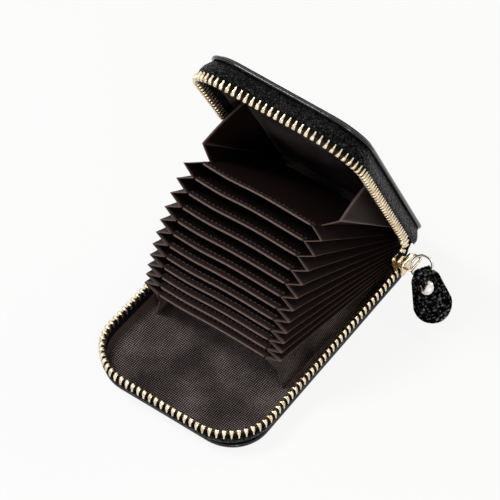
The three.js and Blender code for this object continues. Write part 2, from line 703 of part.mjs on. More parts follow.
// Rivet: a domed cap with its post through the strap, and a flat cap on the back
function turned(profile) {
  const points = profile.map(([r, z]) => new THREE.Vector2(r, z));
  return new THREE.LatheGeometry(points, ROUND_STEPS).rotateX(Math.PI / 2).translate(rivetX, 0, 0);
}

const rivetFace = STRAP_LAYER + RIVET_GAP;
const dome = RIVET_DOME.map(([r, h]) => [RIVET_CAP_RADIUS * r, rivetFace + RIVET_CAP_HEIGHT * h]);
const post = [[0, -rivetFace], [RIVET_POST_RADIUS, -rivetFace], [RIVET_POST_RADIUS, rivetFace]];
piece('rivet_cap', turned([...post, ...dome]), 'steel', strapPlace);
const backFace = -rivetFace - RIVET_GAP;
const backEnd = backFace - RIVET_BACK_HEIGHT;
piece('rivet_back', turned([
  [0, backEnd], [RIVET_BACK_RADIUS * RIVET_BACK_TAPER, backEnd], [RIVET_BACK_RADIUS, backFace], [0, backFace],
]), 'steel', strapPlace);

export default holder;
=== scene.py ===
"""Looks of the zip card holder: leather covers, woven lining, pleated dividers, zip and pull."""

import logging
import math
from dataclasses import dataclass, fields, replace
from enum import Enum

import bmesh
import bpy
from mathutils import Matrix, Vector, noise


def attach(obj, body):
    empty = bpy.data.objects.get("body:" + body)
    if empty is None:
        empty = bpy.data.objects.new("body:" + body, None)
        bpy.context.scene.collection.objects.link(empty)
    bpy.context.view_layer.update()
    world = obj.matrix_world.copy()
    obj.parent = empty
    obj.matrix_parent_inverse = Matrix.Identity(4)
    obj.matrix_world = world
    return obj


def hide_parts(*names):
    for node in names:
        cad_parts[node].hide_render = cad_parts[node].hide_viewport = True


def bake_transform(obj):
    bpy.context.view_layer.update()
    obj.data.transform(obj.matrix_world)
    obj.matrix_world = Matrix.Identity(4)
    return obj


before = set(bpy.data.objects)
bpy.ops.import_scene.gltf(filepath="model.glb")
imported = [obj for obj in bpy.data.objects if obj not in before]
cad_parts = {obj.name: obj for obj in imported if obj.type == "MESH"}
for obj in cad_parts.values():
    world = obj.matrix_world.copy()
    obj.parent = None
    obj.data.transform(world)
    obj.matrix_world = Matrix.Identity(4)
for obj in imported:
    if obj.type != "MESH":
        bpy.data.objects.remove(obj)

LOG = logging.getLogger("card_holder")
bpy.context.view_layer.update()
MM = 0.001
UV_PER_MM = 0.01
RIGHT, UP = Vector((1, 0, 0)), Vector((0, 0, 1))
Pair = tuple[float, float]
Triple = tuple[float, float, float]
Colour = Triple
Grid = list[list[Vector]]
Path = list[tuple[Vector, Vector]]
Section = tuple[Pair, ...]
# A crossing of a sheet: front point, back point, place on the cut cloth, mark from 0 to 1.
Crossing = tuple[Vector, Vector, Pair, float]
Socket = bpy.types.NodeSocket
Finish = bpy.types.Material
Piece = bpy.types.Object


class Side(Enum):
    """The two covers."""

    LOWER = "lower"
    UPPER = "upper"


class Hand(Enum):
    """The two pleated sides, with the sign of their X."""

    LEFT = -1
    RIGHT = 1


def mix(a: float, b: float, share: float) -> float:
    """The value at a share of the way from a to b."""
    return a + (b - a) * share


def clamp(value: float, low: float = 0.0, high: float = 1.0) -> float:
    """The value kept between low and high."""
    return max(low, min(high, value))


def smooth(value: float) -> float:
    """A soft step from 0 to 1."""
    t = clamp(value)
    return t * t * (3 - 2 * t)


def soft_noise(x: float, y: float, z: float) -> float:
    """Fixed smooth noise between about -1 and 1."""
    return noise.noise(Vector((x, y, z)))


def catmull(points: list[Vector], steps: int) -> list[Vector]:
    """A smooth line through a few points.

    Args:
        points: the points that the line passes through.
        steps: how many pieces each stretch is cut into.

    Returns:
        The points of the line.
    """
    ends = [2 * points[0] - points[1], *points, 2 * points[-1] - points[-2]]
    line = []
    for a, b, c, d in zip(ends, ends[1:], ends[2:], ends[3:]):
        for i in range(steps):
            t = i / steps
            line.append(0.5 * (2 * b + (c - a) * t + (2 * a - 5 * b + 4 * c - d) * t * t
                               + (3 * b - a - 3 * c + d) * t ** 3))
    return [*line, points[-1].copy()]


def ring_angles(count: int, shift: float = 0.0) -> list[float]:
    """Angles at even steps round a circle, shifted by a share of a step."""
    return [2 * math.pi * (k + shift) / count for k in range(count)]


def heading(line: list[Vector], i: int) -> Vector:
    """The direction of a line at one of its points."""
    return (line[min(i + 1, len(line) - 1)] - line[max(i - 1, 0)]).normalized()


def run_lengths(line: list[Vector]) -> list[float]:
    """How far along a line each of its points lies."""
    runs = [0.0]
    for a, b in zip(line, line[1:]):
        runs.append(runs[-1] + (b - a).length)
    return runs


def even_steps(low: float, high: float, count: int) -> list[float]:
    """Two ends and the even steps between them."""
    return [mix(low, high, i / count) for i in range(count + 1)]


def quarter(x: float, y: float, radius: float, start: float, steps: int) -> list[Pair]:
    """Points of a quarter circle that starts at an angle given in half turns."""
    angles = [(start + i / (2 * steps)) * math.pi for i in range(steps + 1)]
    return [(x + radius * math.cos(a), y + radius * math.sin(a)) for a in angles]


def soft_share(value: float) -> float:
    """The share at which a soft step from 0 to 1 reaches a value."""
    low, high = 0.0, 1.0
    for _ in range(40):
        middle = (low + high) / 2
        low, high = (middle, high) if smooth(middle) < value else (low, middle)
    return low


# Finishes


class Wiring:
    """A node tree under construction."""

    def __init__(self, tree: bpy.types.NodeTree) -> None:
        """Starts with a tree as it is."""
        self.tree = tree

    def node(self, kind: str, **values: object) -> bpy.types.Node:
        """Adds a node.

        Args:
            kind: the node's type.
            values: attributes of the node, or inputs by name with spaces as underscores.

        Returns:
            The new node.
        """
        node = self.tree.nodes.new(kind)
        for key, value in values.items():
            if hasattr(node, key):
                setattr(node, key, value)
            else:
                self.feed(node.inputs[key.replace("_", " ")], value)
        return node

    def feed(self, socket: Socket, value: object) -> None:
        """Links an output to a socket, or sets the socket's own value."""
        if isinstance(value, Socket):
            self.tree.links.new(value, socket)
        else:
            socket.default_value = value

    def fill(self, node: bpy.types.Node, *values: object) -> Socket:
        """Feeds a node's first inputs in order and returns its first output."""
        for socket, value in zip(node.inputs, values):
            self.feed(socket, value)
        return node.outputs[0]

    def math(self, operation: str, *values: object) -> Socket:
        """The result of one calculation."""
        return self.fill(self.node("ShaderNodeMath", operation=operation), *values)


class NodeBench(Wiring):
    """One material under construction: a Principled shader and the nodes that feed it."""

    def __init__(self, name: str) -> None:
        """Starts an empty material with its shader and output."""
        self.material = bpy.data.materials.new(name)
        self.material.use_nodes = True
        super().__init__(self.material.node_tree)
        self.tree.nodes.clear()
        self.shader = self.node("ShaderNodeBsdfPrincipled")
        self.node("ShaderNodeOutputMaterial", Surface=self.shader.outputs["BSDF"])

    def ramp(self, value: Socket, places: Pair, dark: Colour, light: Colour) -> Socket:
        """Two colours at two places of a value between 0 and 1."""
        node = self.node("ShaderNodeValToRGB", Fac=value)
        for element, place, colour in zip(node.color_ramp.elements, places, (dark, light)):
            element.position = place
            element.color = (*colour, 1.0)
        return node.outputs["Color"]

    def spread(self, value: Socket, low: float, high: float, start: float = 0.0,
               stop: float = 1.0) -> Socket:
        """A value between start and stop laid out between low and high."""
        return self.node("ShaderNodeMapRange", Value=value, From_Min=start, From_Max=stop, To_Min=low,
                         To_Max=high).outputs["Result"]

    def scaled(self, place: Socket, scale: float) -> Socket:
        """A place with all its measures multiplied."""
        return self.node("ShaderNodeMapping", Vector=place, Scale=(scale,) * 3).outputs[0]

    def millimetres(self) -> Socket:
        """The place on the object, in millimetres."""
        return self.scaled(self.node("ShaderNodeTexCoord").outputs["Object"], 1 / MM)

    def cloth_place(self) -> Socket:
        """The place on the cloth as it was cut, in millimetres."""
        return self.scaled(self.node("ShaderNodeUVMap", uv_map="cloth").outputs["UV"], 1 / UV_PER_MM)

    def mark(self) -> Socket:
        """The mark that a mesh carries at a point, from 0 to 1."""
        return self.node("ShaderNodeAttribute", attribute_name="edge").outputs["Fac"]

    def cloud(self, place: Socket, size: float, detail: float = 3.0) -> Socket:
        """Soft noise with patches of about a size in millimetres."""
        return self.node("ShaderNodeTexNoise", Vector=place, Scale=1 / size, Detail=detail).outputs[0]

    def cells(self, place: Socket, size: float, feature: str) -> bpy.types.Node:
        """Pattern of rounded cells of about a size in millimetres."""
        return self.node("ShaderNodeTexVoronoi", feature=feature, Vector=place, Scale=1 / size)

    def relief(self, height: Socket, depth_mm: float, strength: float) -> None:
        """Gives the shader a relief of a depth in millimetres."""
        bump = self.node("ShaderNodeBump", Strength=strength, Distance=depth_mm * MM, Height=height)
        self.set(Normal=bump.outputs["Normal"])

    def set(self, **values: object) -> None:
        """Sets or links inputs of the shader by name."""
        for key, value in values.items():
            self.feed(self.shader.inputs[key.replace("_", " ")], value)


@dataclass(frozen=True)
class Leather:
    """Black leather with a pressed grain."""

    name: str
    cell: float
    depth: float
    dark: Colour
    light: Colour
    rough: Pair
    gloss: float
    shine: Pair = (0.45, 1.4)
    raised: bool = False
    warp_pace: float = 0.9
    warp_share: float = 0.7
    patch_size: float = 9.0
    patch_share: float = 0.4
    fine_size: float = 0.22
    fine_share: float = 0.25
    crease_range: Pair = (0.03, 0.3)
    dullness: float = 1.4
    shine_share: float = 0.5
    tones: Pair = (0.2, 0.9)
    hollowing: float = 2.0
    strength: float = 0.9

    def make(self) -> Finish:
        """Builds the material: a painted highlight of uneven strength on the cell tops, painted shade in
        the creases, and soft patches.
        """
        bench = NodeBench(self.name)
        place = bench.millimetres()
        warp = bench.node("ShaderNodeTexNoise", Vector=place, Scale=self.warp_pace / self.cell, Detail=2.0)
        bent = bench.fill(bench.node("ShaderNodeVectorMath", operation="MULTIPLY_ADD"),
                          warp.outputs["Color"], (self.warp_share * self.cell,) * 3, place)
        grain = bench.cells(bent, self.cell, "SMOOTH_F1").outputs["Distance"]
        # Painted light mask, from the mesh's mark or from the cell creases: 1 on the grain tops, which get
        # a painted highlight, 0 in the creases and hollows, which get painted shade.
        if self.raised:
            painted_light_mask = bench.mark()
        else:
            crease = bench.cells(bent, self.cell, "DISTANCE_TO_EDGE").outputs["Distance"]
            painted_light_mask = bench.spread(crease, 0.0, 1.0, *self.crease_range)
        cell_colour = bench.cells(bent, self.cell, "F1").outputs["Color"]
        chance = bench.node("ShaderNodeSeparateXYZ", Vector=cell_colour).outputs["X"]
        uneven = bench.spread(bench.math("POWER", chance, self.dullness), *self.shine)
        shine = bench.math("MULTIPLY", painted_light_mask, uneven)
        patch = bench.math("MULTIPLY", bench.cloud(place, self.patch_size), self.patch_share)
        # The painted highlight and the painted crease shade go into the base colour; the same mask also
        # sets the specular level.
        tone = bench.math("ADD", patch, bench.math("MULTIPLY", shine, self.shine_share))
        bench.set(Base_Color=bench.ramp(tone, self.tones, self.dark, self.light))
        bench.set(Roughness=bench.spread(grain, *self.rough))
        # Set first, then linked: the socket's own value stands in where a linked level is dropped.
        bench.set(Specular_IOR_Level=self.gloss * sum(self.shine) / 2)
        bench.set(Specular_IOR_Level=bench.math("MULTIPLY", shine, self.gloss))
        lifted = bench.math("POWER", bench.math("SUBTRACT", 1.0, grain), self.hollowing)
        fine = bench.math("MULTIPLY", bench.cloud(place, self.fine_size, 4.0), self.fine_share)
        bench.relief(bench.math("ADD", lifted, fine), self.depth, self.strength)
        return bench.material


@dataclass(frozen=True)
class Cloth:
    """Woven cloth with threads over and under, and paler fold edges: wear with a painted sheen."""

    name: str
    pitch: float
    dark: Colour
    light: Colour
    edge: Colour
    rough: Pair
    sheen: float
    dots: Pair
    depth: float = 0.12
    dotted: bool = False
    patch_size: float = 7.0
    slub_size: float = 1.3
    slub_share: float = 0.3
    worn_range: Pair = (0.36, 0.64)
    worn_least: float = 0.42
    plain_shares: Triple = (0.62, 0.2, 0.18)
    edge_range: Pair = (0.45, 1.2)
    specular: float = 0.06
    sheen_rough: float = 0.45
    strength: float = 0.7

    def make(self) -> Finish:
        """Builds the material: a plain or dotted weave on the cut cloth, tone patches, which on the dotted
        lining are a painted sheen, and paler edges of wear with a painted sheen.
        """
        bench = NodeBench(self.name)
        place = bench.cloth_place()
        parts = bench.node("ShaderNodeSeparateXYZ", Vector=place).outputs
        turn = 2 * math.pi / self.pitch
        warp, weft = (bench.math("SINE", bench.math("MULTIPLY", parts[axis], turn)) for axis in "XY")
        patch = bench.cloud(place, self.patch_size)
        slub = bench.cloud(place, self.slub_size)
        if self.dotted:
            weave = bench.math("MULTIPLY", *(bench.spread(wave, 0.0, 1.0, -1.0) for wave in (warp, weft)))
            # Broad patches of painted sheen make the dotted weave lighter and darker.
            wear_and_sheen_patch = bench.spread(patch, self.worn_least, 1.0, *self.worn_range)
            tone = bench.math("MULTIPLY", bench.math("MULTIPLY_ADD", slub, self.slub_share, weave), wear_and_sheen_patch)
        else:
            weave = bench.math("MULTIPLY_ADD", bench.math("MULTIPLY", warp, weft), 0.5, 0.5)
            threads, spun, patches = (bench.math("MULTIPLY", value, share)
                                      for value, share in zip((weave, slub, patch), self.plain_shares))
            tone = bench.math("ADD", bench.math("ADD", threads, spun), patches)
        pale = (*self.edge, 1.0)
        # Marked places take the edge colour: on the dividers' folds and hems this is wear with a painted
        # sheen, on the lining its band.
        edge_colour_and_sheen = bench.math("MULTIPLY", bench.mark(), bench.spread(slub, *self.edge_range))
        blend = bench.node("ShaderNodeMix", data_type="RGBA", Factor=edge_colour_and_sheen)
        bench.feed(blend.inputs[6], bench.ramp(tone, self.dots, self.dark, self.light))
        bench.feed(blend.inputs[7], pale)
        bench.set(Base_Color=blend.outputs[2], Roughness=bench.spread(weave, *self.rough))
        bench.set(Specular_IOR_Level=self.specular)
        bench.set(Sheen_Weight=self.sheen, Sheen_Roughness=self.sheen_rough, Sheen_Tint=pale)
        bench.relief(weave, self.depth, self.strength)
        return bench.material


@dataclass(frozen=True)
class Metal:
    """Plated metal with small differences of tone and polish."""

    name: str
    dull: Colour
    bright: Colour
    rough: Pair
    patch: float = 1.2
    tones: Pair = (0.35, 0.62)
    fine_size: float = 0.15
    depth: float = 0.01
    strength: float = 0.25

    def make(self) -> Finish:
        """Builds the material: handling marks and a faint unevenness."""
        bench = NodeBench(self.name)
        place = bench.millimetres()
        wear_and_sheen_patch = bench.cloud(place, self.patch)
        bench.set(Metallic=1.0, Base_Color=bench.ramp(wear_and_sheen_patch, self.tones, self.dull, self.bright))
        bench.set(Roughness=bench.spread(wear_and_sheen_patch, *self.rough))
        bench.relief(bench.cloud(place, self.fine_size, 2.0), self.depth, self.strength)
        return bench.material


@dataclass(frozen=True)
class Thread:
    """Twisted sewing thread."""

    name: str
    dark: Colour
    light: Colour
    rough: Pair = (0.5, 0.75)
    tones: Pair = (0.2, 0.8)
    ply_pace: float = 0.9
    ply_bend: float = 1.5
    specular: float = 0.3
    depth: float = 0.05
    strength: float = 0.6

    def make(self) -> Finish:
        """Builds the material: slanting plies that catch the light."""
        bench = NodeBench(self.name)
        plies = bench.node("ShaderNodeTexWave", Vector=bench.millimetres(), Scale=self.ply_pace,
                           Distortion=self.ply_bend, bands_direction="DIAGONAL").outputs[0]
        bench.set(Base_Color=bench.ramp(plies, self.tones, self.dark, self.light))
        bench.set(Roughness=bench.spread(plies, *self.rough), Specular_IOR_Level=self.specular)
        bench.relief(plies, self.depth, self.strength)
        return bench.material


@dataclass(frozen=True)
class PressedBoard:
    """Grey-brown stiffening board."""

    name: str
    dark: Colour
    light: Colour
    rough: Pair = (0.8, 0.95)
    tones: Pair = (0.35, 0.7)
    fleck: float = 0.8
    depth: float = 0.05
    strength: float = 0.4

    def make(self) -> Finish:
        """Builds the material: flecks of fibre."""
        bench = NodeBench(self.name)
        flecks = bench.cloud(bench.millimetres(), self.fleck, 6.0)
        bench.set(Base_Color=bench.ramp(flecks, self.tones, self.dark, self.light))
        bench.set(Roughness=bench.spread(flecks, *self.rough))
        bench.relief(flecks, self.depth, self.strength)
        return bench.material


@dataclass(frozen=True)
class Finishes:
    """The finishes of the holder."""

    cover: Leather = Leather("cover_leather", 0.9, 0.34, (0.0015, 0.0015, 0.0017), (0.022, 0.0217, 0.0219),
                             (0.26, 0.5), 0.17)
    strap: Leather = Leather("strap_leather", 0.6, 0.04, (0.0012, 0.0012, 0.0014), (0.045, 0.045, 0.046),
                             (0.2, 0.34), 1.0, (0.6, 1.5), raised=True)
    piping: Leather = Leather("piping_leather", 0.7, 0.03, (0.0015, 0.0015, 0.0016), (0.014, 0.0135, 0.013),
                              (0.07, 0.16), 0.42, (0.8, 1.1), raised=True)
    lining: Cloth = Cloth("lining_weave", 0.78, (0.011, 0.0068, 0.0066), (0.38, 0.325, 0.315),
                          (0.075, 0.045, 0.04), (0.8, 0.6), 0.05, (0.12, 1.0), dotted=True, patch_size=22.0)
    divider: Cloth = Cloth("divider_cloth", 0.5, (0.0062, 0.0033, 0.003), (0.018, 0.0104, 0.0092),
                           (0.23, 0.16, 0.145), (0.62, 0.48), 0.03, (0.3, 0.9), 0.06)
    tape: Cloth = Cloth("tape_weave", 0.6, (0.003, 0.003, 0.003), (0.01, 0.0095, 0.0095),
                        (0.03, 0.025, 0.022), (0.85, 0.7), 0.03, (0.3, 0.8))
    brass: Metal = Metal("pale_brass", (0.62, 0.45, 0.26), (0.95, 0.84, 0.64), (0.18, 0.34))
    nickel: Metal = Metal("nickel", (0.62, 0.6, 0.56), (0.86, 0.85, 0.82), (0.1, 0.22), 2.0)
    brown_thread: Thread = Thread("brown_thread", (0.02, 0.013, 0.011), (0.1, 0.07, 0.06))
    black_thread: Thread = Thread("black_thread", (0.006, 0.006, 0.006), (0.03, 0.029, 0.028))
    board: PressedBoard = PressedBoard("stiffening_board", (0.2, 0.16, 0.11), (0.34, 0.28, 0.21))


def make_palette(finishes: Finishes) -> dict[str, Finish]:
    """Makes each finish once, as a material by the finish's name."""
    return {each.name: getattr(finishes, each.name).make() for each in fields(finishes)}


# Meshes


class MeshDraft:
    """A mesh under construction, in millimetres, with its cloth places and edge marks."""

    ring_step: float = 0.8

    def __init__(self) -> None:
        """Starts with nothing."""
        self.places: list[Vector] = []
        self.faces: list[tuple[int, ...]] = []
        self.cuts: list[Pair] = []
        self.edges: list[float] = []

    def add(self, rows: Grid, cuts: list[list[Pair]], edges: list[list[float]] | None = None) -> int:
        """Adds rows of points and returns the number of the first."""
        start = len(self.places)
        for row, cut in zip(rows, cuts):
            self.places += row
            self.cuts += cut
        plain = [[0.0] * (len(self.places) - start)]
        self.edges += [mark for row in edges or plain for mark in row]
        return start

    def tube(self, rings: Grid) -> None:
        """Joins rings of equal counts of points and caps both ends."""
        count = len(rings[0])
        runs = run_lengths([ring[0] for ring in rings])
        start = self.add(rings, [[(run, self.ring_step * i) for i in range(count)] for run in runs])
        last = start + (len(rings) - 1) * count
        for a in range(start, last, count):
            b = a + count
            for i in range(count):
                j = (i + 1) % count
                self.faces.append((a + i, a + j, b + j, b + i))
        self.faces.append(tuple(start + i for i in reversed(range(count))))
        self.faces.append(tuple(last + i for i in range(count)))

    def sheet(self, front: Grid, back: Grid, cuts: list[list[Pair]],
              edges: list[list[float]] | None = None) -> None:
        """A closed sheet from the grids of its two faces.

        Args:
            front: rows of points of one face.
            back: rows of points of the other face.
            cuts: the places of these points on the cut cloth.
            edges: a mark from 0 to 1 at each point: on cloth how far it takes the edge colour, which on the
                dividers is wear with a painted sheen; on the strap where a highlight is painted on the
                pebble tops.
        """
        rows, columns = len(front), len(front[0])
        a = self.add(front, cuts, edges)
        b = self.add(back, cuts, edges)
        for r in range(rows - 1):
            for c in range(columns - 1):
                i = r * columns + c
                quad = (i, i + 1, i + columns + 1, i + columns)
                self.faces.append(tuple(a + k for k in quad))
                self.faces.append(tuple(b + k for k in reversed(quad)))
        rim = [*range(columns), *(r * columns + columns - 1 for r in range(1, rows)),
               *((rows - 1) * columns + c for c in reversed(range(columns - 1))),
               *(r * columns for r in reversed(range(1, rows - 1)))]
        for i, j in zip(rim, rim[1:] + rim[:1]):
            self.faces.append((a + j, a + i, b + i, b + j))

    def piece(self, name: str, material: Finish | None, sharp: float = 42.0) -> Piece:
        """Makes the object.

        Args:
            name: the piece's name.
            material: its finish, or None for a shape that is only copied.
            sharp: the angle above which an edge stays sharp, in degrees.

        Returns:
            The new object, linked to the scene.
        """
        mesh = bpy.data.meshes.new(name)
        mesh.from_pydata([place * MM for place in self.places], [], self.faces)
        layer = mesh.uv_layers.new(name="cloth")
        corners = [0] * len(mesh.loops)
        mesh.loops.foreach_get("vertex_index", corners)
        layer.data.foreach_set("uv", [UV_PER_MM * w for i in corners for w in self.cuts[i]])
        mark = mesh.attributes.new("edge", "FLOAT", "POINT")
        mark.data.foreach_set("value", self.edges)
        work = bmesh.new()
        work.from_mesh(mesh)
        bmesh.ops.remove_doubles(work, verts=work.verts, dist=1e-7)
        bmesh.ops.recalc_face_normals(work, faces=work.faces)
        work.to_mesh(mesh)
        work.free()
        return finish_mesh(name, mesh, material, sharp)


def finish_mesh(name: str, mesh: bpy.types.Mesh, material: Finish | None, sharp: float) -> Piece:
    """Shades a mesh and links it as an object at the origin."""
    mesh.shade_smooth()
    mesh.set_sharp_from_angle(angle=math.radians(sharp))
    if material:
        mesh.materials.clear()
        mesh.materials.append(material)
    obj = bpy.data.objects.new(name, mesh)
    bpy.context.scene.collection.objects.link(obj)
    return obj


def settle(obj: Piece, body: str, slot: str, *nodes: str) -> None:
    """Puts a finished piece on its body, in the place of its solids."""
    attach(obj, body)
    register(obj, slot, *nodes)


def register(obj: Piece, slot: str, *nodes: str) -> None:
    """Hides the solids that a piece stands for and logs its faces."""
    if nodes:
        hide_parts(*nodes)
    LOG.info("%s: %d faces", obj.name, len(obj.data.polygons))


def round_bar(path: list[Vector], across: Vector, radii: Pair, sides: int) -> Grid:
    """Rings of a bar with an oval section along a path.

    Args:
        path: the middle line.
        across: the direction of the section's first radius.
        radii: the section's two radii.
        sides: points of a ring.

    Returns:
        The rings.
    """
    rings = []
    for i, point in enumerate(path):
        along = heading(path, i)
        side = (across - along * across.dot(along)).normalized()
        rise = along.cross(side)
        rings.append([point + side * radii[0] * math.cos(a) + rise * radii[1] * math.sin(a)
                      for a in ring_angles(sides, 0.5)])
    return rings


def turned(profile: Section, steps: int) -> Grid:
    """Rings of a round piece about Z from [radius, height] pairs."""
    return [[Vector((r * math.cos(a), r * math.sin(a), h)) for a in ring_angles(steps)] for r, h in profile]


# Rows of repeated shapes


class PathRow:
    """Copies of one small shape at even steps along paths, made by Geometry Nodes."""

    def __init__(self) -> None:
        """Builds the node tree once."""
        tree = bpy.data.node_groups.new("row_along_path", "GeometryNodeTree")
        face = tree.interface
        face.new_socket("Path", in_out="INPUT", socket_type="NodeSocketGeometry")
        self.sockets = {
            name: face.new_socket(name, in_out="INPUT", socket_type=kind).identifier
            for name, kind in (("Shape", "NodeSocketObject"), ("Pitch", "NodeSocketFloat"),
                               ("Finish", "NodeSocketMaterial"))
        }
        face.new_socket("Row", in_out="OUTPUT", socket_type="NodeSocketGeometry")
        add = tree.nodes.new
        start, end = add("NodeGroupInput"), add("NodeGroupOutput")
        curve, steps = add("GeometryNodeMeshToCurve"), add("GeometryNodeResampleCurve")
        steps.mode = "LENGTH"
        shape, rise = add("GeometryNodeObjectInfo"), add("GeometryNodeInputNamedAttribute")
        rise.data_type = "FLOAT_VECTOR"
        rise.inputs["Name"].default_value = "rise"
        tangent, turn = add("GeometryNodeInputTangent"), add("FunctionNodeAxesToRotation")
        turn.primary_axis, turn.secondary_axis = "Z", "X"
        copies, real = add("GeometryNodeInstanceOnPoints"), add("GeometryNodeRealizeInstances")
        paint = add("GeometryNodeSetMaterial")
        for source, output, target, socket in (
            (start, "Path", curve, 0), (curve, 0, steps, "Curve"), (start, "Pitch", steps, "Length"),
            (start, "Shape", shape, "Object"), (rise, 0, turn, 0), (tangent, 0, turn, 1),
            (steps, 0, copies, "Points"), (shape, "Geometry", copies, "Instance"),
            (turn, 0, copies, "Rotation"), (copies, 0, real, 0), (real, 0, paint, "Geometry"),
            (start, "Finish", paint, "Material"), (paint, 0, end, 0),
        ):
            tree.links.new(source.outputs[output], target.inputs[socket])
        self.tree = tree

    def make(self, name: str, paths: list[Path], shape: Piece, pitch: float, material: Finish) -> Piece:
        """Lays a row.

        Args:
            name: the piece's name.
            paths: for each path, its points with the direction in which the shape stands there.
            shape: the small shape, with X along the path and Z standing.
            pitch: the step between copies, in millimetres.
            material: the finish of the row.

        Returns:
            The row as one plain mesh object.
        """
        places, joins, rises = [], [], []
        for path in paths:
            joins += [(len(places) + i, len(places) + i + 1) for i in range(len(path) - 1)]
            places += [place * MM for place, _ in path]
            rises += [value for _, rise in path for value in rise]
        guide_mesh = bpy.data.meshes.new("guide")
        guide_mesh.from_pydata(places, joins, [])
        guide_mesh.attributes.new("rise", "FLOAT_VECTOR", "POINT").data.foreach_set("vector", rises)
        guide = bpy.data.objects.new("guide", guide_mesh)
        bpy.context.scene.collection.objects.link(guide)
        modifier = guide.modifiers.new("row", "NODES")
        modifier.node_group = self.tree
        modifier[self.sockets["Shape"]] = shape
        modifier[self.sockets["Pitch"]] = pitch * MM
        modifier[self.sockets["Finish"]] = material
        graph = bpy.context.evaluated_depsgraph_get()
        mesh = bpy.data.meshes.new_from_object(guide.evaluated_get(graph), depsgraph=graph)
        guide.modifiers.remove(modifier)
        bpy.data.objects.remove(guide)
        bpy.data.meshes.remove(guide_mesh)
        mesh.name = name
        return finish_mesh(name, mesh, material, 50.0)


@dataclass
class SmallShapes:
    """The shapes that are repeated, a zip tooth and a stitch: their sizes and their sections.

    The tooth's outline is given as shares of its half width and height.
    """

    tooth_length: float = 1.2
    tooth_half: float = 1.2
    tooth_height: float = 3.25
    tooth_side: Section = ((0.42, 0.96), (0.86, 0.82), (1.05, 0.62), (1.0, 0.4), (0.94, 0.0))
    tooth_notch: Section = ((0.42, 0.0), (0.4, 0.3))
    tooth_sections: Section = ((-0.5, 0.8), (-0.34, 1.0), (0.2, 1.0), (0.5, 0.72))
    tooth_middle: float = 0.45
    tooth_swell: float = 0.16
    leg_share: float = 0.62
    leg_top: float = 0.5
    leg_step: float = 0.22
    stitch_length: float = 1.25
    stitch_half: float = 0.17
    stitch_sides: int = 6
    stitch_sections: tuple[Triple, ...] = ((-1.0, 0.35, -0.1), (-0.72, 0.9, 0.06), (0.0, 1.0, 0.14),
                                           (0.72, 0.9, 0.06), (1.0, 0.35, -0.1))

    def tooth(self) -> Piece:
        """A tooth: two legs over the tape and a rounded head with a nib."""
        half, top = self.tooth_half, self.tooth_height
        side, notch = ([(-y, z) for y, z in reversed(line)] for line in (self.tooth_side, self.tooth_notch))
        shares = [*side, (0.0, 1.0), *self.tooth_side, *self.tooth_notch, *notch]
        rings = []
        for share, size in self.tooth_sections:
            ring = []
            for y, z in ((y * half, z * top) for y, z in shares):
                thick = mix(self.leg_share, 1.0, smooth((z / top - self.leg_top) / self.leg_step))
                x = share * (self.tooth_length * thick + self.tooth_swell * z / top)
                ring.append(Vector((x, y * size, mix(self.tooth_middle * top, z, 0.5 + 0.5 * size))))
            rings.append(ring)
        draft = MeshDraft()
        draft.tube(rings)
        return draft.piece("tooth", None, 50.0)

    def stitch(self) -> Piece:
        """A stitch: a short bent grain of thread that dips at both ends."""
        rings = []
        for share, size, lift in self.stitch_sections:
            radius = size * self.stitch_half
            rings.append([Vector((share * (self.stitch_length / 2), radius * math.cos(a),
                                  lift + radius * math.sin(a))) for a in ring_angles(self.stitch_sides)])
        draft = MeshDraft()
        draft.tube(rings)
        return draft.piece("stitch", None, 60.0)


@dataclass
class Workshop:
    """What every sub-assembly uses: the materials, the row maker and the repeated shapes."""

    palette: dict[str, Finish]
    rows: PathRow
    tooth_shape: Piece
    stitch_shape: Piece

    def tube(self, name: str, rings: Grid, finish: str, sharp: float = 42.0, mark: float = 0.0) -> Piece:
        """A piece that is one tube, with one mark all over."""
        draft = MeshDraft()
        draft.tube(rings)
        draft.edges = [mark] * len(draft.edges)
        return draft.piece(name, self.palette[finish], sharp)

    def woven(self, name: str, table: list[list[Crossing]], finish: str, sharp: float = 42.0) -> Piece:
        """A piece that is one sheet.

        Args:
            name: the piece's name.
            table: rows of crossings.
            finish: the name of its finish.
            sharp: the angle above which an edge stays sharp, in degrees.

        Returns:
            The new object.
        """
        draft = MeshDraft()
        draft.sheet(*([[cell[i] for cell in row] for row in table] for i in range(4)))
        return draft.piece(name, self.palette[finish], sharp)

    def stitches(self, name: str, paths: list[Path], pitch: float, finish: str) -> Piece:
        """A row of stitches along paths."""
        return self.rows.make(name, paths, self.stitch_shape, pitch, self.palette[finish])

    def teeth(self, name: str, path: Path, pitch: float) -> Piece:
        """A row of zip teeth along a path."""
        return self.rows.make(name, [path], self.tooth_shape, pitch, self.palette["brass"])

    def clear(self) -> None:
        """Takes the pattern shapes out of the scene."""
        for shape in (self.tooth_shape, self.stitch_shape):
            bpy.data.objects.remove(shape)


# Where things are


@dataclass(frozen=True)
class Hinge:
    """The line on which the holder opens."""

    y: float = 49.0
    z: float = 12.5
    angle: float = 66.0

    def opened(self, x: float, ahead: float, above: float, angle: float) -> Vector:
        """A point ahead of the hinge and above it when shut, once its layer is opened by an angle."""
        turn = math.radians(angle)
        return Vector((x, self.y - ahead * math.cos(turn) + above * math.sin(turn),
                       self.z + ahead * math.sin(turn) + above * math.cos(turn)))

    def place(self, side: Side, flat: Vector) -> Vector:
        """A point of a cover that lies flat as the lower one, at its place on either cover."""
        if side is Side.LOWER:
            return flat.copy()
        return self.opened(flat.x, self.y - flat.y, self.z - flat.z, self.angle)


@dataclass(frozen=True)
class RimSpot:
    """A point of the rim's run with its outward direction."""

    x: float
    y: float
    nx: float
    ny: float


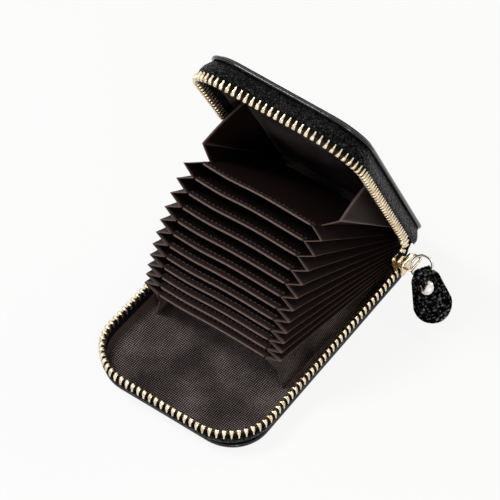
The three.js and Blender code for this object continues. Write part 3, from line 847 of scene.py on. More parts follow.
@dataclass(frozen=True)
class Rim:
    """The run round three sides: it leans out from the panel to the zip line."""

    foot_line: float = 31.3
    foot_front: float = -49.3
    foot_radius: float = 12.3
    head_line: float = 34.5
    head_front: float = -53.5
    head_radius: float = 18.0
    bottom: float = 1.6
    top: float = 6.5
    end: float = 47.0
    narrowing: float = 1.5
    hinge_y: float = 49.0
    arc_steps: int = 20
    side_steps: int = 24
    front_steps: int = 12
    crowding: float = 1.6
    tuck_start: float = 46.0
    tuck_length: float = 4.5
    tuck_in: float = 1.7
    tuck_down: float = 2.4
    tuck_foot: float = 3.0
    tuck_rise: float = 4.0

    def width_share(self, y: float) -> float:
        """Share of its full width that a cover keeps at a place: the sides draw in towards the spine."""
        start = self.head_front + self.head_radius
        return 1 - max(0.0, (y - start) / (self.hinge_y - start)) * self.narrowing / self.head_line

    def run(self, line: float, front: float, radius: float, ends: Pair) -> list[RimSpot]:
        """Spots of a U: down the left side, round the front, up the right side."""
        spots = []
        corner = front + radius
        for i in range(self.side_steps):
            share = (i / self.side_steps) ** self.crowding
            spots.append(RimSpot(-line, mix(ends[0], corner, share), -1.0, 0.0))
        for hand, start in ((-1, math.pi), (1, 1.5 * math.pi)):
            for i in range(self.arc_steps + 1):
                angle = start + i / self.arc_steps * math.pi / 2
                nx, ny = math.cos(angle), math.sin(angle)
                spots.append(RimSpot(hand * (line - radius) + radius * nx, corner + radius * ny, nx, ny))
            if hand < 0:
                for i in range(1, self.front_steps):
                    x = mix(-line + radius, line - radius, i / self.front_steps)
                    spots.append(RimSpot(x, front, 0.0, -1.0))
        for i in range(1, self.side_steps + 1):
            share = 1 - (1 - i / self.side_steps) ** self.crowding
            spots.append(RimSpot(line, mix(corner, ends[1], share), 1.0, 0.0))
        return spots

    def rings(self, section: Section, ends: Pair | None = None) -> Grid:
        """The section's [outward, height] points at each spot of the run."""
        stops = ends or (self.end, self.end)
        low = self.run(self.foot_line, self.foot_front, self.foot_radius, stops)
        high = self.run(self.head_line, self.head_front, self.head_radius, stops)
        rings = []
        for a, b in zip(low, high):
            ring = []
            for out, z in section:
                share = clamp((z - self.bottom) / (self.top - self.bottom))
                x, y = mix(a.x, b.x, share) + out * a.nx, mix(a.y, b.y, share) + out * a.ny
                ring.append(Vector((x * self.width_share(y), y, z)))
            rings.append(ring)
        return rings

    def tuck(self, rings: Grid) -> None:
        """Rounds the rear ends of a run: they turn in towards the spine, and their top comes down."""
        for point in (point for ring in rings for point in ring):
            share = clamp((point.y - self.tuck_start) / self.tuck_length) ** 2
            point.x -= math.copysign(self.tuck_in * share, point.x)
            point.z -= self.tuck_down * share * smooth((point.z - self.tuck_foot) / self.tuck_rise)

    def line(self, out: float, z: float, ends: Pair | None = None) -> list[Vector]:
        """One line of the run."""
        return [ring[0] for ring in self.rings(((out, z),), ends)]

    def corner_count(self) -> int:
        """How many spots lead to the end of the left front corner."""
        return self.side_steps + self.arc_steps


# Covers


@dataclass
class Cover:
    """One cover: leather panel, wall, piping, lining, tape, teeth and stop."""

    side: Side
    shop: Workshop
    hinge: Hinge = Hinge()
    rim: Rim = Rim()
    half_width: float = 32.0
    front: float = -50.0
    rear: float = 50.0
    front_radius: float = 13.0
    rear_radius: float = 1.6
    least_radius: float = 0.3
    corner_steps: int = 12
    panel_edge: Section = ((6.0, 0.0), (1.3, 0.0), (0.55, 0.07), (0.15, 0.34), (0.0, 0.7),
                                    (0.12, 1.05), (0.5, 1.26), (1.2, 1.3), (6.0, 1.3))
    wall_section: Section = ((0.62, 1.35), (0.8, 2.2), (0.86, 3.6), (0.8, 5.4), (0.72, 7.2),
                                      (0.62, 8.05), (0.4, 8.4), (0.18, 8.3), (0.1, 7.8), (0.08, 6.6),
                                      (-0.62, 6.3), (-0.7, 5.0), (-0.7, 1.6), (0.1, 1.35))
    wall_ends: Pair = (50.2, 50.2)
    wall_swell: float = 0.16
    wall_paces: Triple = (0.09, 0.09, 0.3)
    piping_out: float = 1.55
    piping_z: float = 1.55
    piping_radius: float = 0.8
    piping_sides: int = 10
    piping_unevenness: float = 0.02
    piping_pace: float = 0.6
    lining_z: float = 3.2
    lining_out: float = -1.0
    lining_thickness: float = 0.4
    lining_columns: int = 28
    lining_margin: float = 6.0
    lining_wave: float = 0.16
    lining_pace: float = 0.07
    lining_sag: float = 0.12
    band_inner: Section = ((-1.12, 2.9), (-1.08, 3.6), (-1.1, 4.4), (-1.16, 4.8), (-1.22, 5.1),
                                    (-1.2, 5.8), (-1.16, 5.95))
    band_outer: Section = ((-0.8, 2.9), (-0.8, 3.6), (-0.8, 4.4), (-0.9, 4.8), (-0.96, 5.1),
                                    (-0.96, 5.8), (-0.98, 5.95))
    band_marks: tuple[float, ...] = (0.8, 0.8, 0.8, 0.85, 0.95, 0.95, 1.0)
    band_stitch_out: float = -1.16
    band_stitch_z: float = 5.5
    tape_section: Section = ((-0.38, 6.9), (-0.02, 6.9), (0.0, 9.0), (0.32, 9.5), (0.34, 9.85),
                                      (0.0, 10.1), (-0.36, 9.85), (-0.36, 9.4), (-0.38, 9.0))
    facing_inner: Section = ((-0.96, 4.6), (-0.95, 5.6), (-0.95, 6.9), (-0.9, 7.7), (-0.7, 8.3))
    facing_outer: Section = ((-0.72, 4.6), (-0.72, 5.6), (-0.6, 6.9), (-0.45, 7.7), (-0.42, 8.3))
    facing_step: float = 1.2
    stitch_inset: float = 3.2
    stitch_z: float = 0.24
    stitch_pitch: float = 1.9
    tooth_foot: float = 8.75
    tooth_pitch: float = 2.5
    tooth_gap: float = 0.6
    free_end: float = 35.0
    stop_length: float = 2.2
    stop_half: float = 1.25
    stop_rise: float = 1.3
    stop_z: float = 10.7
    stop_sides: int = 12
    stop_power: float = 0.5
    stop_sections: Section = ((-0.5, 0.78), (-0.36, 1.0), (0.36, 1.0), (0.5, 0.78))

    @property
    def body(self) -> str:
        """The body of this cover."""
        return f"{self.side.value}_cover"

    @property
    def chain_end(self) -> float:
        """Where the row of teeth ends on the right side."""
        return self.rim.end if self.side is Side.LOWER else self.free_end

    def name(self, piece: str) -> str:
        """The name of a piece of this cover."""
        return f"{self.side.value}_{piece}"

    def put(self, grid: Grid) -> Grid:
        """Rows of flat points at their places on this cover."""
        return [[self.hinge.place(self.side, point) for point in row] for row in grid]

    def rise(self, place: Vector, direction: Vector) -> tuple[Vector, Vector]:
        """A flat point and direction at their places on this cover."""
        start = self.hinge.place(self.side, place)
        return start, (self.hinge.place(self.side, place + direction) - start).normalized()

    def fit(self, obj: Piece, slot: str, *nodes: str) -> None:
        """Puts a piece on this cover, in the place of this cover's solids."""
        settle(obj, self.body, slot, *(self.name(node) for node in nodes))

    def outline(self, inset: float, z: float) -> list[Vector]:
        """The panel's outline drawn in by an inset."""
        points = []
        for hand, end, radius, start in ((1, -1, self.front_radius, -0.5), (1, 1, self.rear_radius, 0.0),
                                         (-1, 1, self.rear_radius, 0.5), (-1, -1, self.front_radius, 1.0)):
            bend = max(radius - inset, self.least_radius)
            reach = self.rear if end > 0 else -self.front
            points += quarter(hand * (self.half_width - inset - bend), end * (reach - inset - bend), bend,
                              start, self.corner_steps)
        return [Vector((x * self.rim.width_share(y), y, z)) for x, y in points]

    def panel(self) -> None:
        """The outer leather with its turned edge, and a row of stitches near it."""
        rings = self.put([self.outline(inset, z) for inset, z in self.panel_edge])
        self.fit(self.shop.tube(self.name("panel_leather"), rings, "cover"), "leather", "panel")
        line = self.outline(self.stitch_inset, self.stitch_z)
        path = [self.rise(point, -UP) for point in [*line, line[0]]]
        row = self.shop.stitches(self.name("panel_stitches"), [path], self.stitch_pitch, "black_thread")
        self.fit(row, "leather")

    def wall(self) -> None:
        """The leather side wall, soft and slightly full, folded at its top."""
        rings = self.rim.rings(list(self.wall_section), self.wall_ends)
        for ring in rings:
            # Points 1 to 5 lie on the outer face, point 12 on the inner one.
            for point in ring[1:6]:
                spot = (pace * value for pace, value in zip(self.wall_paces, point))
                away = Vector((ring[2].x - ring[12].x, ring[2].y - ring[12].y, 0)).normalized()
                point += away * (self.wall_swell * soft_noise(*spot))
        self.rim.tuck(rings)
        self.fit(self.shop.tube(self.name("wall_leather"), self.put(rings), "cover"), "leather", "wall")

    def piping(self) -> None:
        """The piped edge, a round cord that is slightly uneven."""
        rings = []
        middle = self.rim.line(self.piping_out, self.piping_z, self.wall_ends)
        inner = self.rim.line(self.piping_out - 1, self.piping_z, self.wall_ends)
        for i, (point, inside) in enumerate(zip(middle, inner)):
            out = (point - inside).normalized()
            radius = self.piping_radius * (1 + self.piping_unevenness * math.sin(self.piping_pace * i))
            rings.append([point + out * radius * math.cos(a) + Vector((0, 0, radius * math.sin(a)))
                          for a in ring_angles(self.piping_sides, 0.5)])
        self.rim.tuck(rings)
        # Mark 1 all over: every cell of the piping takes a painted highlight of random strength.
        obj = self.shop.tube(self.name("piping_leather"), self.put(rings), "piping", mark=1.0)
        self.fit(obj, "leather", "piping")

    def lining(self) -> None:
        """The woven lining: a floor and a band that stands up inside the wall, sewn at its top."""
        draft = MeshDraft()
        edge = self.rim.line(self.lining_out, self.lining_z)
        rows = self.rim.corner_count() + 1
        top, under, cuts = [], [], []
        for left, right in zip(edge[:rows], reversed(edge[-rows:])):
            line = [left.lerp(right, c / self.lining_columns) for c in range(self.lining_columns + 1)]
            for point in line:
                inset = min(clamp((self.half_width - abs(point.x)) / self.lining_margin),
                            clamp((point.y - self.front) / self.lining_margin))
                wave = soft_noise(self.lining_pace * point.x, self.lining_pace * point.y, 2.0)
                point.z += self.lining_wave * wave * inset - self.lining_sag * inset
            top.append(line)
            under.append([point - UP * self.lining_thickness for point in line])
            cuts.append([(point.x, point.y) for point in line])
        draft.sheet(self.put(top), self.put(under), cuts)
        front, back = self.rim.rings(self.band_inner), self.rim.rings(self.band_outer)
        cuts = [[(run, z) for _, z in self.band_inner] for run in run_lengths([ring[0] for ring in front])]
        draft.sheet(self.put(front), self.put(back), cuts, [self.band_marks] * len(cuts))
        obj = draft.piece(self.name("lining_cloth"), self.shop.palette["lining"])
        self.fit(obj, "lining", "lining")
        self.name("board")
        sewn, inside = (self.rim.line(out, self.band_stitch_z)
                        for out in (self.band_stitch_out, self.band_stitch_out - 1))
        path = [self.rise(point, (inner - point).normalized()) for point, inner in zip(sewn, inside)]
        row = self.shop.stitches(self.name("lining_stitches"), [path], self.stitch_pitch, "brown_thread")
        self.fit(row, "lining")

    def tape(self) -> None:
        """The woven tape between wall and teeth, corded at its edge, and a facing inside the wall."""
        draft = MeshDraft()
        draft.tube(self.put(self.rim.rings(self.tape_section, (self.rim.end, self.chain_end))))
        front, back = self.rim.rings(self.facing_inner), self.rim.rings(self.facing_outer)
        cuts = [[(self.facing_step * i, z) for _, z in self.facing_inner] for i in range(len(front))]
        draft.sheet(self.put(front), self.put(back), cuts)
        self.fit(draft.piece(self.name("tape_cloth"), self.shop.palette["tape"]), "tape", "zip_tape")

    def teeth(self) -> None:
        """The row of teeth from the stop to the right end, and the stop."""
        start = self.rim.end - self.stop_length - self.tooth_gap
        line = self.rim.line(0.0, self.tooth_foot, (self.rim.end, self.chain_end - self.tooth_gap))
        line = [point for point in line if point.x > 0 or point.y < start]
        line.insert(0, Vector((-self.rim.head_line * self.rim.width_share(start), start, self.tooth_foot)))
        path = [self.rise(point, UP) for point in line]
        self.fit(self.shop.teeth(self.name("teeth_row"), path, self.tooth_pitch), "brass", "zip_teeth")
        middle = self.rim.end - self.stop_length / 2
        side = -self.rim.head_line * self.rim.width_share(middle)
        rings = []
        for share, size in self.stop_sections:
            ring = []
            for angle in ring_angles(self.stop_sides, 0.5):
                x, z = (math.copysign(abs(value) ** self.stop_power, value) * half * size for value, half in
                        ((math.cos(angle), self.stop_half), (math.sin(angle), self.stop_rise)))
                ring.append(Vector((x + side, middle + share * self.stop_length, self.stop_z + z)))
            rings.append(ring)
        self.fit(self.shop.tube(self.name("stop_clamp"), self.put(rings), "brass"), "brass", "zip_stop")

    def board(self) -> None:
        """The hidden board keeps its solid and gets its finish."""
        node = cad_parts[self.name("board")]
        node.data.materials.clear()
        node.data.materials.append(self.shop.palette["board"])
        LOG.info("%s: finish only", node.name)

    def build(self) -> None:
        """Makes and dresses every piece of the cover."""
        self.board()
        self.panel()
        self.wall()
        self.piping()
        self.lining()
        self.tape()
        self.teeth()


# Dividers


@dataclass(frozen=True)
class Column:
    """A line of a pleat that runs from the spine to the front."""

    angle: float
    level: float
    x: float
    front: float
    rear: float = 3.2


@dataclass
class Fan:
    """The dividers, their pleated sides and the binding at the rear."""

    shop: Workshop
    hinge: Hinge = Hinge()
    count: int = 12
    half: float = 23.5
    reach: float = 73.0
    rear: float = 4.0
    pitch: float = 1.4
    first_angle: float = 14.0
    step: float = 2.0
    growth: float = 0.16
    hem: float = 3.4
    cloth_half: float = 0.24
    hem_half: float = 0.4
    corner: float = 2.0
    pleat_valley: float = 23.3
    pleat_edge: float = 28.8
    pleat_thickness: float = 0.4
    panel_front: float = 68.0
    lining_x: float = 27.4
    lining_level: float = 9.0
    top_fold_share: float = 0.16
    top_fronts: Triple = (65.0, 66.0, 58.0)
    top_rears: Triple = (-2.8, -2.6, 0.2)
    leaf_columns: int = 26
    leaf_steps: int = 22
    hem_rows: tuple[float, ...] = (3.4, 3.1, 2.4, 1.6, 1.0, 0.55, 0.22, 0.05, 0.0)
    hem_gap: float = 0.6
    hem_lap: float = 0.3
    hem_step: float = 0.5
    edge_round: float = 0.5
    least_edge: float = 0.03
    wave_start: float = 12.0
    wave_length: float = 40.0
    wave_heights: Triple = (0.42, 0.3, 0.14)
    mark_step: float = 0.4
    edge_width: float = 0.45
    edge_mark: float = 0.85
    hem_mark: float = 0.12
    stitch_columns: int = 24
    stitch_share: float = 0.96
    stitch_inset: float = 0.7
    stitch_pitch: float = 1.75
    pleat_columns: int = 20
    pleat_ends: tuple[float, ...] = (0.975, 0.99, 1.0)
    pleat_power: float = 1.06
    pleat_belly: float = 0.22
    pleat_wave: float = 0.12
    pleat_pace: float = 0.06
    pleat_hem_from: float = 0.96
    pleat_hem_share: float = 1.35
    pleat_hem_mark: float = 0.7
    pleat_hem_start: float = 0.98
    pleat_hem_step: float = 0.015
    crease_line: float = 0.045
    crease_half: float = 0.055
    crease_step: float = 0.05
    bend_reach: float = 60.0
    binding_gap: float = 0.3
    binding_thickness: float = 0.5
    binding_columns: int = 12
    binding_step: float = 0.7

    def angle(self, k: int) -> float:
        """The angle by which a divider is opened."""
        return self.first_angle + self.step * k + self.growth * k * (k - 1) / 2

    def level(self, k: int) -> float:
        """The height of a divider above the hinge when shut."""
        return (k - (self.count - 1) / 2) * self.pitch

    def leaf_name(self, k: int) -> str:
        """The name of a divider's solid and body."""
        return f"leaf_{k + 1:02d}"

    def leaf_rows(self) -> list[Triple]:
        """Rows of a divider: distance from the hinge, half width and half thickness."""
        aheads = even_steps(self.rear, self.reach - self.hem - self.hem_gap, self.leaf_steps)
        aheads += [self.reach - left for left in self.hem_rows]
        rows = []
        for ahead in aheads:
            bend = clamp((ahead - self.reach + self.corner) / self.corner)
            half = self.half - self.corner * (1 - math.sqrt(1 - bend * bend))
            left = self.reach - ahead
            share = smooth((left - self.hem + self.hem_lap) / self.hem_step)
            thick = mix(self.hem_half, self.cloth_half, share)
            if left < self.edge_round:
                thick *= math.sqrt(max(self.least_edge, 1 - (1 - left / self.edge_round) ** 2))
            rows.append((ahead, half, thick))
        return rows

    def wave(self, share: float, ahead: float, k: int) -> float:
        """How far a divider's cloth stands off its plane."""
        swing, common, own = self.wave_heights
        inside = (1 - share * share) * smooth((ahead - self.wave_start) / self.wave_length)
        ripple = swing * math.sin(2.6 * share + 0.4) + common * soft_noise(1.6 * share, 0.045 * ahead, 7.0)
        return inside * (ripple + own * soft_noise(1.3 * share, 0.03 * ahead, 3.0 * k))

    def leaf(self, k: int) -> None:
        """A divider: one cloth sheet with a sewn hem at its front edge."""
        name, angle, level = self.leaf_name(k), self.angle(k), self.level(k)
        table = []
        for ahead, half, thick in self.leaf_rows():
            left = self.reach - ahead
            # The front edge and the hem are marked pale: wear with a painted sheen.
            mark = (self.edge_mark * smooth((self.edge_width - left) / self.mark_step)
                    + self.hem_mark * smooth((self.hem - left) / self.mark_step))
            row = []
            for share in even_steps(-1, 1, self.leaf_columns):
                wave = self.wave(share, ahead, k)
                faces = (self.hinge.opened(half * share, ahead, level + sign * thick + wave, angle)
                         for sign in (1, -1))
                row.append((*faces, (half * share, ahead), mark))
            table.append(row)
        obj = self.shop.woven(f"{name}_cloth", table, "divider")
        settle(obj, name, "divider", name)
        ahead = self.reach - self.hem + self.stitch_inset
        paths = []
        for sign in (1, -1):
            rise = self.hinge.opened(0, 0, sign, angle) - self.hinge.opened(0, 0, 0, 0)
            path = []
            for share in even_steps(-1, 1, self.stitch_columns):
                share *= self.stitch_share
                above = level + sign * self.hem_half + self.wave(share, ahead, k)
                path.append((self.hinge.opened(self.half * share, ahead, above, angle), rise))
            paths.append(path)
        row = self.shop.stitches(f"{name}_stitches", paths, self.stitch_pitch, "brown_thread")
        settle(row, name, "divider")

    def columns(self) -> list[Column]:
        """The lines of a pleated side, from the lower lining to the upper one."""
        first, last = self.angle(0), self.angle(self.count - 1)
        span = (self.lining_level + self.level(self.count - 1)) / 2
        middle = (self.pleat_valley + self.lining_x) / 2
        lines = [Column(0.0, -self.lining_level, self.lining_x, self.panel_front),
                 Column(first / 2, -span, middle, self.panel_front)]
        for k in range(self.count):
            angle, level = self.angle(k), self.level(k)
            lines.append(Column(angle, level, self.pleat_valley, self.reach))
            if k + 1 < self.count:
                lines.append(Column((angle + self.angle(k + 1)) / 2, (level + self.level(k + 1)) / 2,
                                    self.pleat_edge, self.reach))
        lines.append(Column(mix(last, self.hinge.angle, self.top_fold_share), span, self.pleat_edge,
                            self.reach))
        lines.append(Column(self.hinge.angle, self.lining_level, self.lining_x, self.panel_front))
        return lines

    def pleat(self, hand: Hand, gap: int) -> None:
        """One fold of a pleated side, between two neighbours of the stack.

        Args:
            hand: which side of the holder.
            gap: number of the gap, 0 between the lower lining and the first divider.
        """
        lines = self.columns()[2 * gap:2 * gap + 3]
        if gap == self.count:
            lines = [replace(line, front=front, rear=rear)
                     for line, front, rear in zip(lines, self.top_fronts, self.top_rears)]
        low, fold, high = lines
        flat = gap == 0
        shares = sorted([-self.crease_line, self.crease_line, *even_steps(-1, 1, self.pleat_columns)])
        table = []
        for step in [*even_steps(0, 1, self.pleat_columns)[:-1], *self.pleat_ends]:
            thick = self.pleat_thickness * (self.pleat_hem_share if step > self.pleat_hem_from else 1.0)
            hem = self.pleat_hem_mark * smooth((step - self.pleat_hem_start) / self.pleat_hem_step)
            row = []
            for share in shares:
                end = low if share < 0 else high
                rest = abs(share) ** self.pleat_power
                x, angle = mix(fold.x, end.x, rest), mix(fold.angle, end.angle, rest)
                reach = mix(fold.front, end.front, rest)
                ahead = mix(mix(fold.rear, end.rear, rest), reach, step)
                arch = math.sin(math.pi * rest)
                belly = 0.0 if flat else self.pleat_belly * arch * math.sin(math.pi * step)
                belly *= 1 if end is low else -1
                wave = soft_noise(self.pleat_pace * ahead, share, 5.0 * gap + hand.value)
                level = mix(fold.level, end.level, rest) + (belly + self.pleat_wave * wave * arch)
                faces = (self.hinge.opened(hand.value * side_x, ahead, level, angle)
                         for side_x in (x, x + thick))
                # The fold line and the front hem are marked pale: wear with a painted sheen.
                crease = 0.0 if flat else smooth((self.crease_half - abs(share)) / self.crease_step)
                row.append((*faces, ahead, max(crease, hem)))
            half = run_lengths([cell[0] for cell in row])[-1] / 2
            table.append([(near, far, (ahead, share * half), mark)
                          for (near, far, ahead, mark), share in zip(row, shares)])
        side = hand.name.lower()
        obj = self.shop.woven(f"gusset_{side}_fold_{gap:02d}", table, "lining" if flat else "divider", 70.0)
        register(obj, "divider", f"gusset_{side}")
        broad, slim = (run_lengths([cell[0] for cell in row])[-1] * MM for row in (table[-1], table[0]))
        self.bend(obj, gap, low, high)

    def bend(self, obj: Piece, gap: int, low: Column, high: Column) -> None:
        """Works out the ends of the two neighbours that a fold joins, and bakes the fold's placement into
        its mesh.
        """
        start, end = (self.hinge.opened(0, self.bend_reach, line.level, line.angle) for line in (low, high))
        second = self.leaf_name(gap) if gap < self.count else "upper_cover"
        if gap == self.count:
            # The top fold starts at the share of the opening that the last divider has.
            away = self.hinge.opened(0, 0, 1, low.angle) - self.hinge.opened(0, 0, 0, low.angle)
            end = start + away * (end - start).dot(away)
            share = soft_share(self.angle(self.count - 1) / self.hinge.angle)
            start = start - (end - start) * share / (1 - share)
        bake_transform(obj)

    def binding(self) -> None:
        """The strip that holds the rear edges of the dividers."""
        ahead = self.rear - self.binding_gap
        line = catmull([self.hinge.opened(0, ahead, self.level(k), self.angle(k))
                        for k in range(self.count)], 2)
        table = []
        for i, point in enumerate(line):
            along = heading(line, i)
            away = Vector((0, along.z, -along.y)) * self.binding_thickness
            row = []
            for x in even_steps(-self.half, self.half, self.binding_columns):
                place = Vector((x, point.y, point.z))
                row.append((place, place + away, (x, i * self.binding_step), 0.0))
            table.append(row)
        obj = self.shop.woven("binding_cloth", table, "lining")
        register(obj, "lining", "leaf_binding")
        low, high = (soft_share(self.angle(k) / self.hinge.angle) for k in (0, self.count - 1))
        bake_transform(obj)

    def build(self) -> None:
        """Makes the dividers, the pleats of both sides and the binding."""
        for k in range(self.count):
            self.leaf(k)
        for hand in Hand:
            for gap in range(self.count + 1):
                self.pleat(hand, gap)
        self.binding()


# Spine


@dataclass
class Spine:
    """The leather that joins the covers at the rear, and the lining in front of it."""

    shop: Workshop
    hinge: Hinge = Hinge()
    leather_half: float = 30.0
    leather_thickness: float = 1.3
    leather_ahead: float = -1.3
    leather_level: float = 11.85
    leather_hollow: float = 5.6
    lining_half: float = 28.6
    lining_thickness: float = 0.5
    lining_ahead: float = 1.7
    lining_level: float = 9.3
    lining_hollow: float = 4.8
    line_steps: int = 14
    columns: int = 32
    leather_crease: float = 0.35
    lining_crease: float = 0.15
    edge_width: float = 0.6
    edge_share: float = 0.45

    def line(self, ahead: float, level: float, hollow: float) -> list[Vector]:
        """The section's line from the lower cover to the upper one."""
        ends = [self.hinge.opened(0, ahead, -level, 0),
                self.hinge.opened(0, -hollow, 0, self.hinge.angle / 2),
                self.hinge.opened(0, ahead, level, self.hinge.angle)]
        return catmull(ends, self.line_steps)

    def strip(self, name: str, line: list[Vector], half: float, thickness: float, crease: float,
              finish: str) -> Piece:
        """A strip across the spine with soft creases along it.

        Args:
            name: the piece's name.
            line: the section's line.
            half: half of the strip's width.
            thickness: its thickness, outwards.
            crease: depth of the creases.
            finish: its finish.

        Returns:
            The strip.
        """
        runs = run_lengths(line)
        table = []
        for i, (point, run) in enumerate(zip(line, runs)):
            along = heading(line, i)
            away = Vector((0, along.z, -along.y))
            held = math.sin(math.pi * i / (len(line) - 1))
            row = []
            for x in even_steps(-half, half, self.columns):
                dent = crease * held * (0.5 * math.sin(1.3 * i + 0.9 * soft_noise(0.08 * x, 0.2 * i, 1.0))
                                        + 0.6 * soft_noise(0.05 * x, 0.35 * i, 4.0))
                edge = clamp((half - abs(x)) / self.edge_width)
                thin = thickness * mix(self.edge_share, 1.0, math.sqrt(edge))
                base = Vector((x, point.y, point.z))
                faces = (base + away * (dent + (thickness + side * thin) / 2) for side in (-1, 1))
                row.append((*faces, (x, run), 0.0))
            table.append(row)
        obj = self.shop.woven(name, table, finish)
        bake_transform(obj)
        return obj

    def build(self) -> None:
        """Makes both layers."""
        line = self.line(self.leather_ahead, self.leather_level, self.leather_hollow)
        obj = self.strip("spine_fold_leather", line, self.leather_half, self.leather_thickness,
                         self.leather_crease, "cover")
        register(obj, "leather", "spine_leather")
        line = self.line(self.lining_ahead, self.lining_level, self.lining_hollow)
        obj = self.strip("spine_fold_cloth", line, self.lining_half, self.lining_thickness,
                         self.lining_crease, "lining")
        register(obj, "lining", "spine_lining")


# Zip end, slider and pull


@dataclass
class ZipEnd:
    """The loose end of the upper row, bent down into the slider."""

    shop: Workshop
    hinge: Hinge = Hinge()
    x: float = 33.15
    pitch: float = 2.5
    bend: tuple[Triple, ...] = ((4.0, 2.0, 0.0), (6.4, 5.5, 0.0), (10.0, 1.2, 66.0), (13.7, 1.4, 66.0))
    bend_steps: int = 8
    tape_back: float = 1.0
    tape_radii: Pair = (0.42, 1.5)
    tape_sides: int = 10
    tooth_back: float = 1.7

    def build(self) -> None:
        """Makes the tape of the end and its teeth."""
        line = catmull([self.hinge.opened(self.x, *place) for place in self.bend], self.bend_steps)
        headings = [heading(line, i) for i in range(len(line))]
        rises = [Vector((0, -along.z, along.y)) for along in headings]
        back = [point - rise * self.tape_back for point, rise in zip(line, rises)]
        rings = round_bar(back, RIGHT, self.tape_radii, self.tape_sides)
        tape = self.shop.tube("upper_zip_end_tape", rings, "tape")
        path = [(point - rise * self.tooth_back, rise) for point, rise in zip(line, rises)]
        row = self.shop.teeth("upper_zip_end_teeth", path, self.pitch)
        for obj, slot in ((tape, "tape"), (row, "brass")):
            register(obj, slot, "upper_zip_end")
            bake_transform(obj)


@dataclass
class Slider:
    """The slider: two wings, the post between them and the bridge outside."""

    shop: Workshop
    centre: Triple = (33.05, 46.0, 12.5)
    half_length: float = 4.0
    wide: float = 3.7
    narrow: float = 2.7
    wide_bend: float = 1.3
    narrow_bend: float = 1.7
    corner_steps: int = 6
    wing_inner: float = 1.75
    wing_outer: float = 2.75
    lip: float = 0.8
    lip_half: float = 0.3
    lip_inset: float = 0.34
    lip_shift: float = 0.25
    lip_run: tuple[float, ...] = (-2.7, -1.0, 1.0, 2.4)
    lip_sides: int = 10
    post_run: tuple[float, ...] = (-2.3, -1.0, 1.0, 2.3)
    post_y: float = -1.8
    post_radii: Pair = (1.4, 0.25)
    bar: float = 0.5
    bar_sides: int = 12
    bridge_out: float = 5.65
    bridge_half: float = 3.5
    bridge_rise: float = 2.0
    bridge_bend: float = 1.0
    bridge_foot: float = 0.1
    bridge_straight: float = 0.4

    def wing_outline(self, inset: float) -> list[Pair]:
        """The wing's outline, wide at the end where the open rows come in."""
        points = []
        for y, z, start in ((1, 1, 0.0), (-1, 1, 0.5), (-1, -1, 1.0), (1, -1, 1.5)):
            reach, bend = (self.narrow, self.narrow_bend) if y > 0 else (self.wide, self.wide_bend)
            points += quarter(y * (self.half_length - bend), z * (reach - bend), bend - inset, start,
                              self.corner_steps)
        return points

    def body_piece(self) -> None:
        """Wings with rounded edges and turned lips, and the post that parts the rows."""
        draft = MeshDraft()
        middle = Vector(self.centre)
        inner, outer = self.wing_inner, self.wing_outer
        layers = [(0.5, inner), (0.12, inner), (0.0, inner + 0.18), (0.0, outer - 0.4),
                  (0.16, outer - 0.12), (0.5, outer), (1.1, outer + 0.04)]
        lip_x = inner - self.lip / 2 + self.lip_shift
        lip_radii = (self.lip / 2 + self.lip_half, self.lip_half)
        for hand in (-1, 1):
            draft.tube([[middle + Vector((hand * x, y, z)) for y, z in self.wing_outline(inset)]
                        for inset, x in layers])
            for edge in (-1, 1):
                path = []
                for y in self.lip_run:
                    half = mix(self.wide, self.narrow, (y + self.half_length) / (2 * self.half_length))
                    path.append(middle + Vector((hand * lip_x, y, edge * (half - self.lip_inset))))
                draft.tube(round_bar(path, RIGHT, lip_radii, self.lip_sides))
        post = [middle + Vector((x, self.post_y, 0)) for x in self.post_run]
        draft.tube(round_bar(post, Vector((0, 1, 0)), self.post_radii, self.bar_sides))
        obj = draft.piece("slider_wings", self.shop.palette["brass"], 35.0)
        settle(obj, "slider", "brass", "slider_body")

    def bridge(self) -> None:
        """The bent bar that carries the ring."""
        half, out, bend = self.bridge_half, self.bridge_out, self.bridge_bend
        path = [Vector((x, -half, 0)) for x in (self.wing_outer - self.bridge_foot,
                                                out - bend - self.bridge_straight)]
        for i in range(self.corner_steps + 1):
            angle = math.pi / 2 * i / self.corner_steps
            path.append(Vector((out - bend + bend * math.sin(angle),
                                -half + bend - bend * math.cos(angle), 0)))
        path += [Vector((point.x, -point.y, 0)) for point in reversed(path)]
        path = [Vector(self.centre) + point + UP * self.bridge_rise for point in path]
        rings = round_bar(path, UP, (self.bar, self.bar), self.bar_sides)
        settle(self.shop.tube("slider_bridge_bar", rings, "brass"), "slider", "brass", "slider_bridge")

    def build(self) -> None:
        """Makes the slider's pieces."""
        self.body_piece()
        self.bridge()


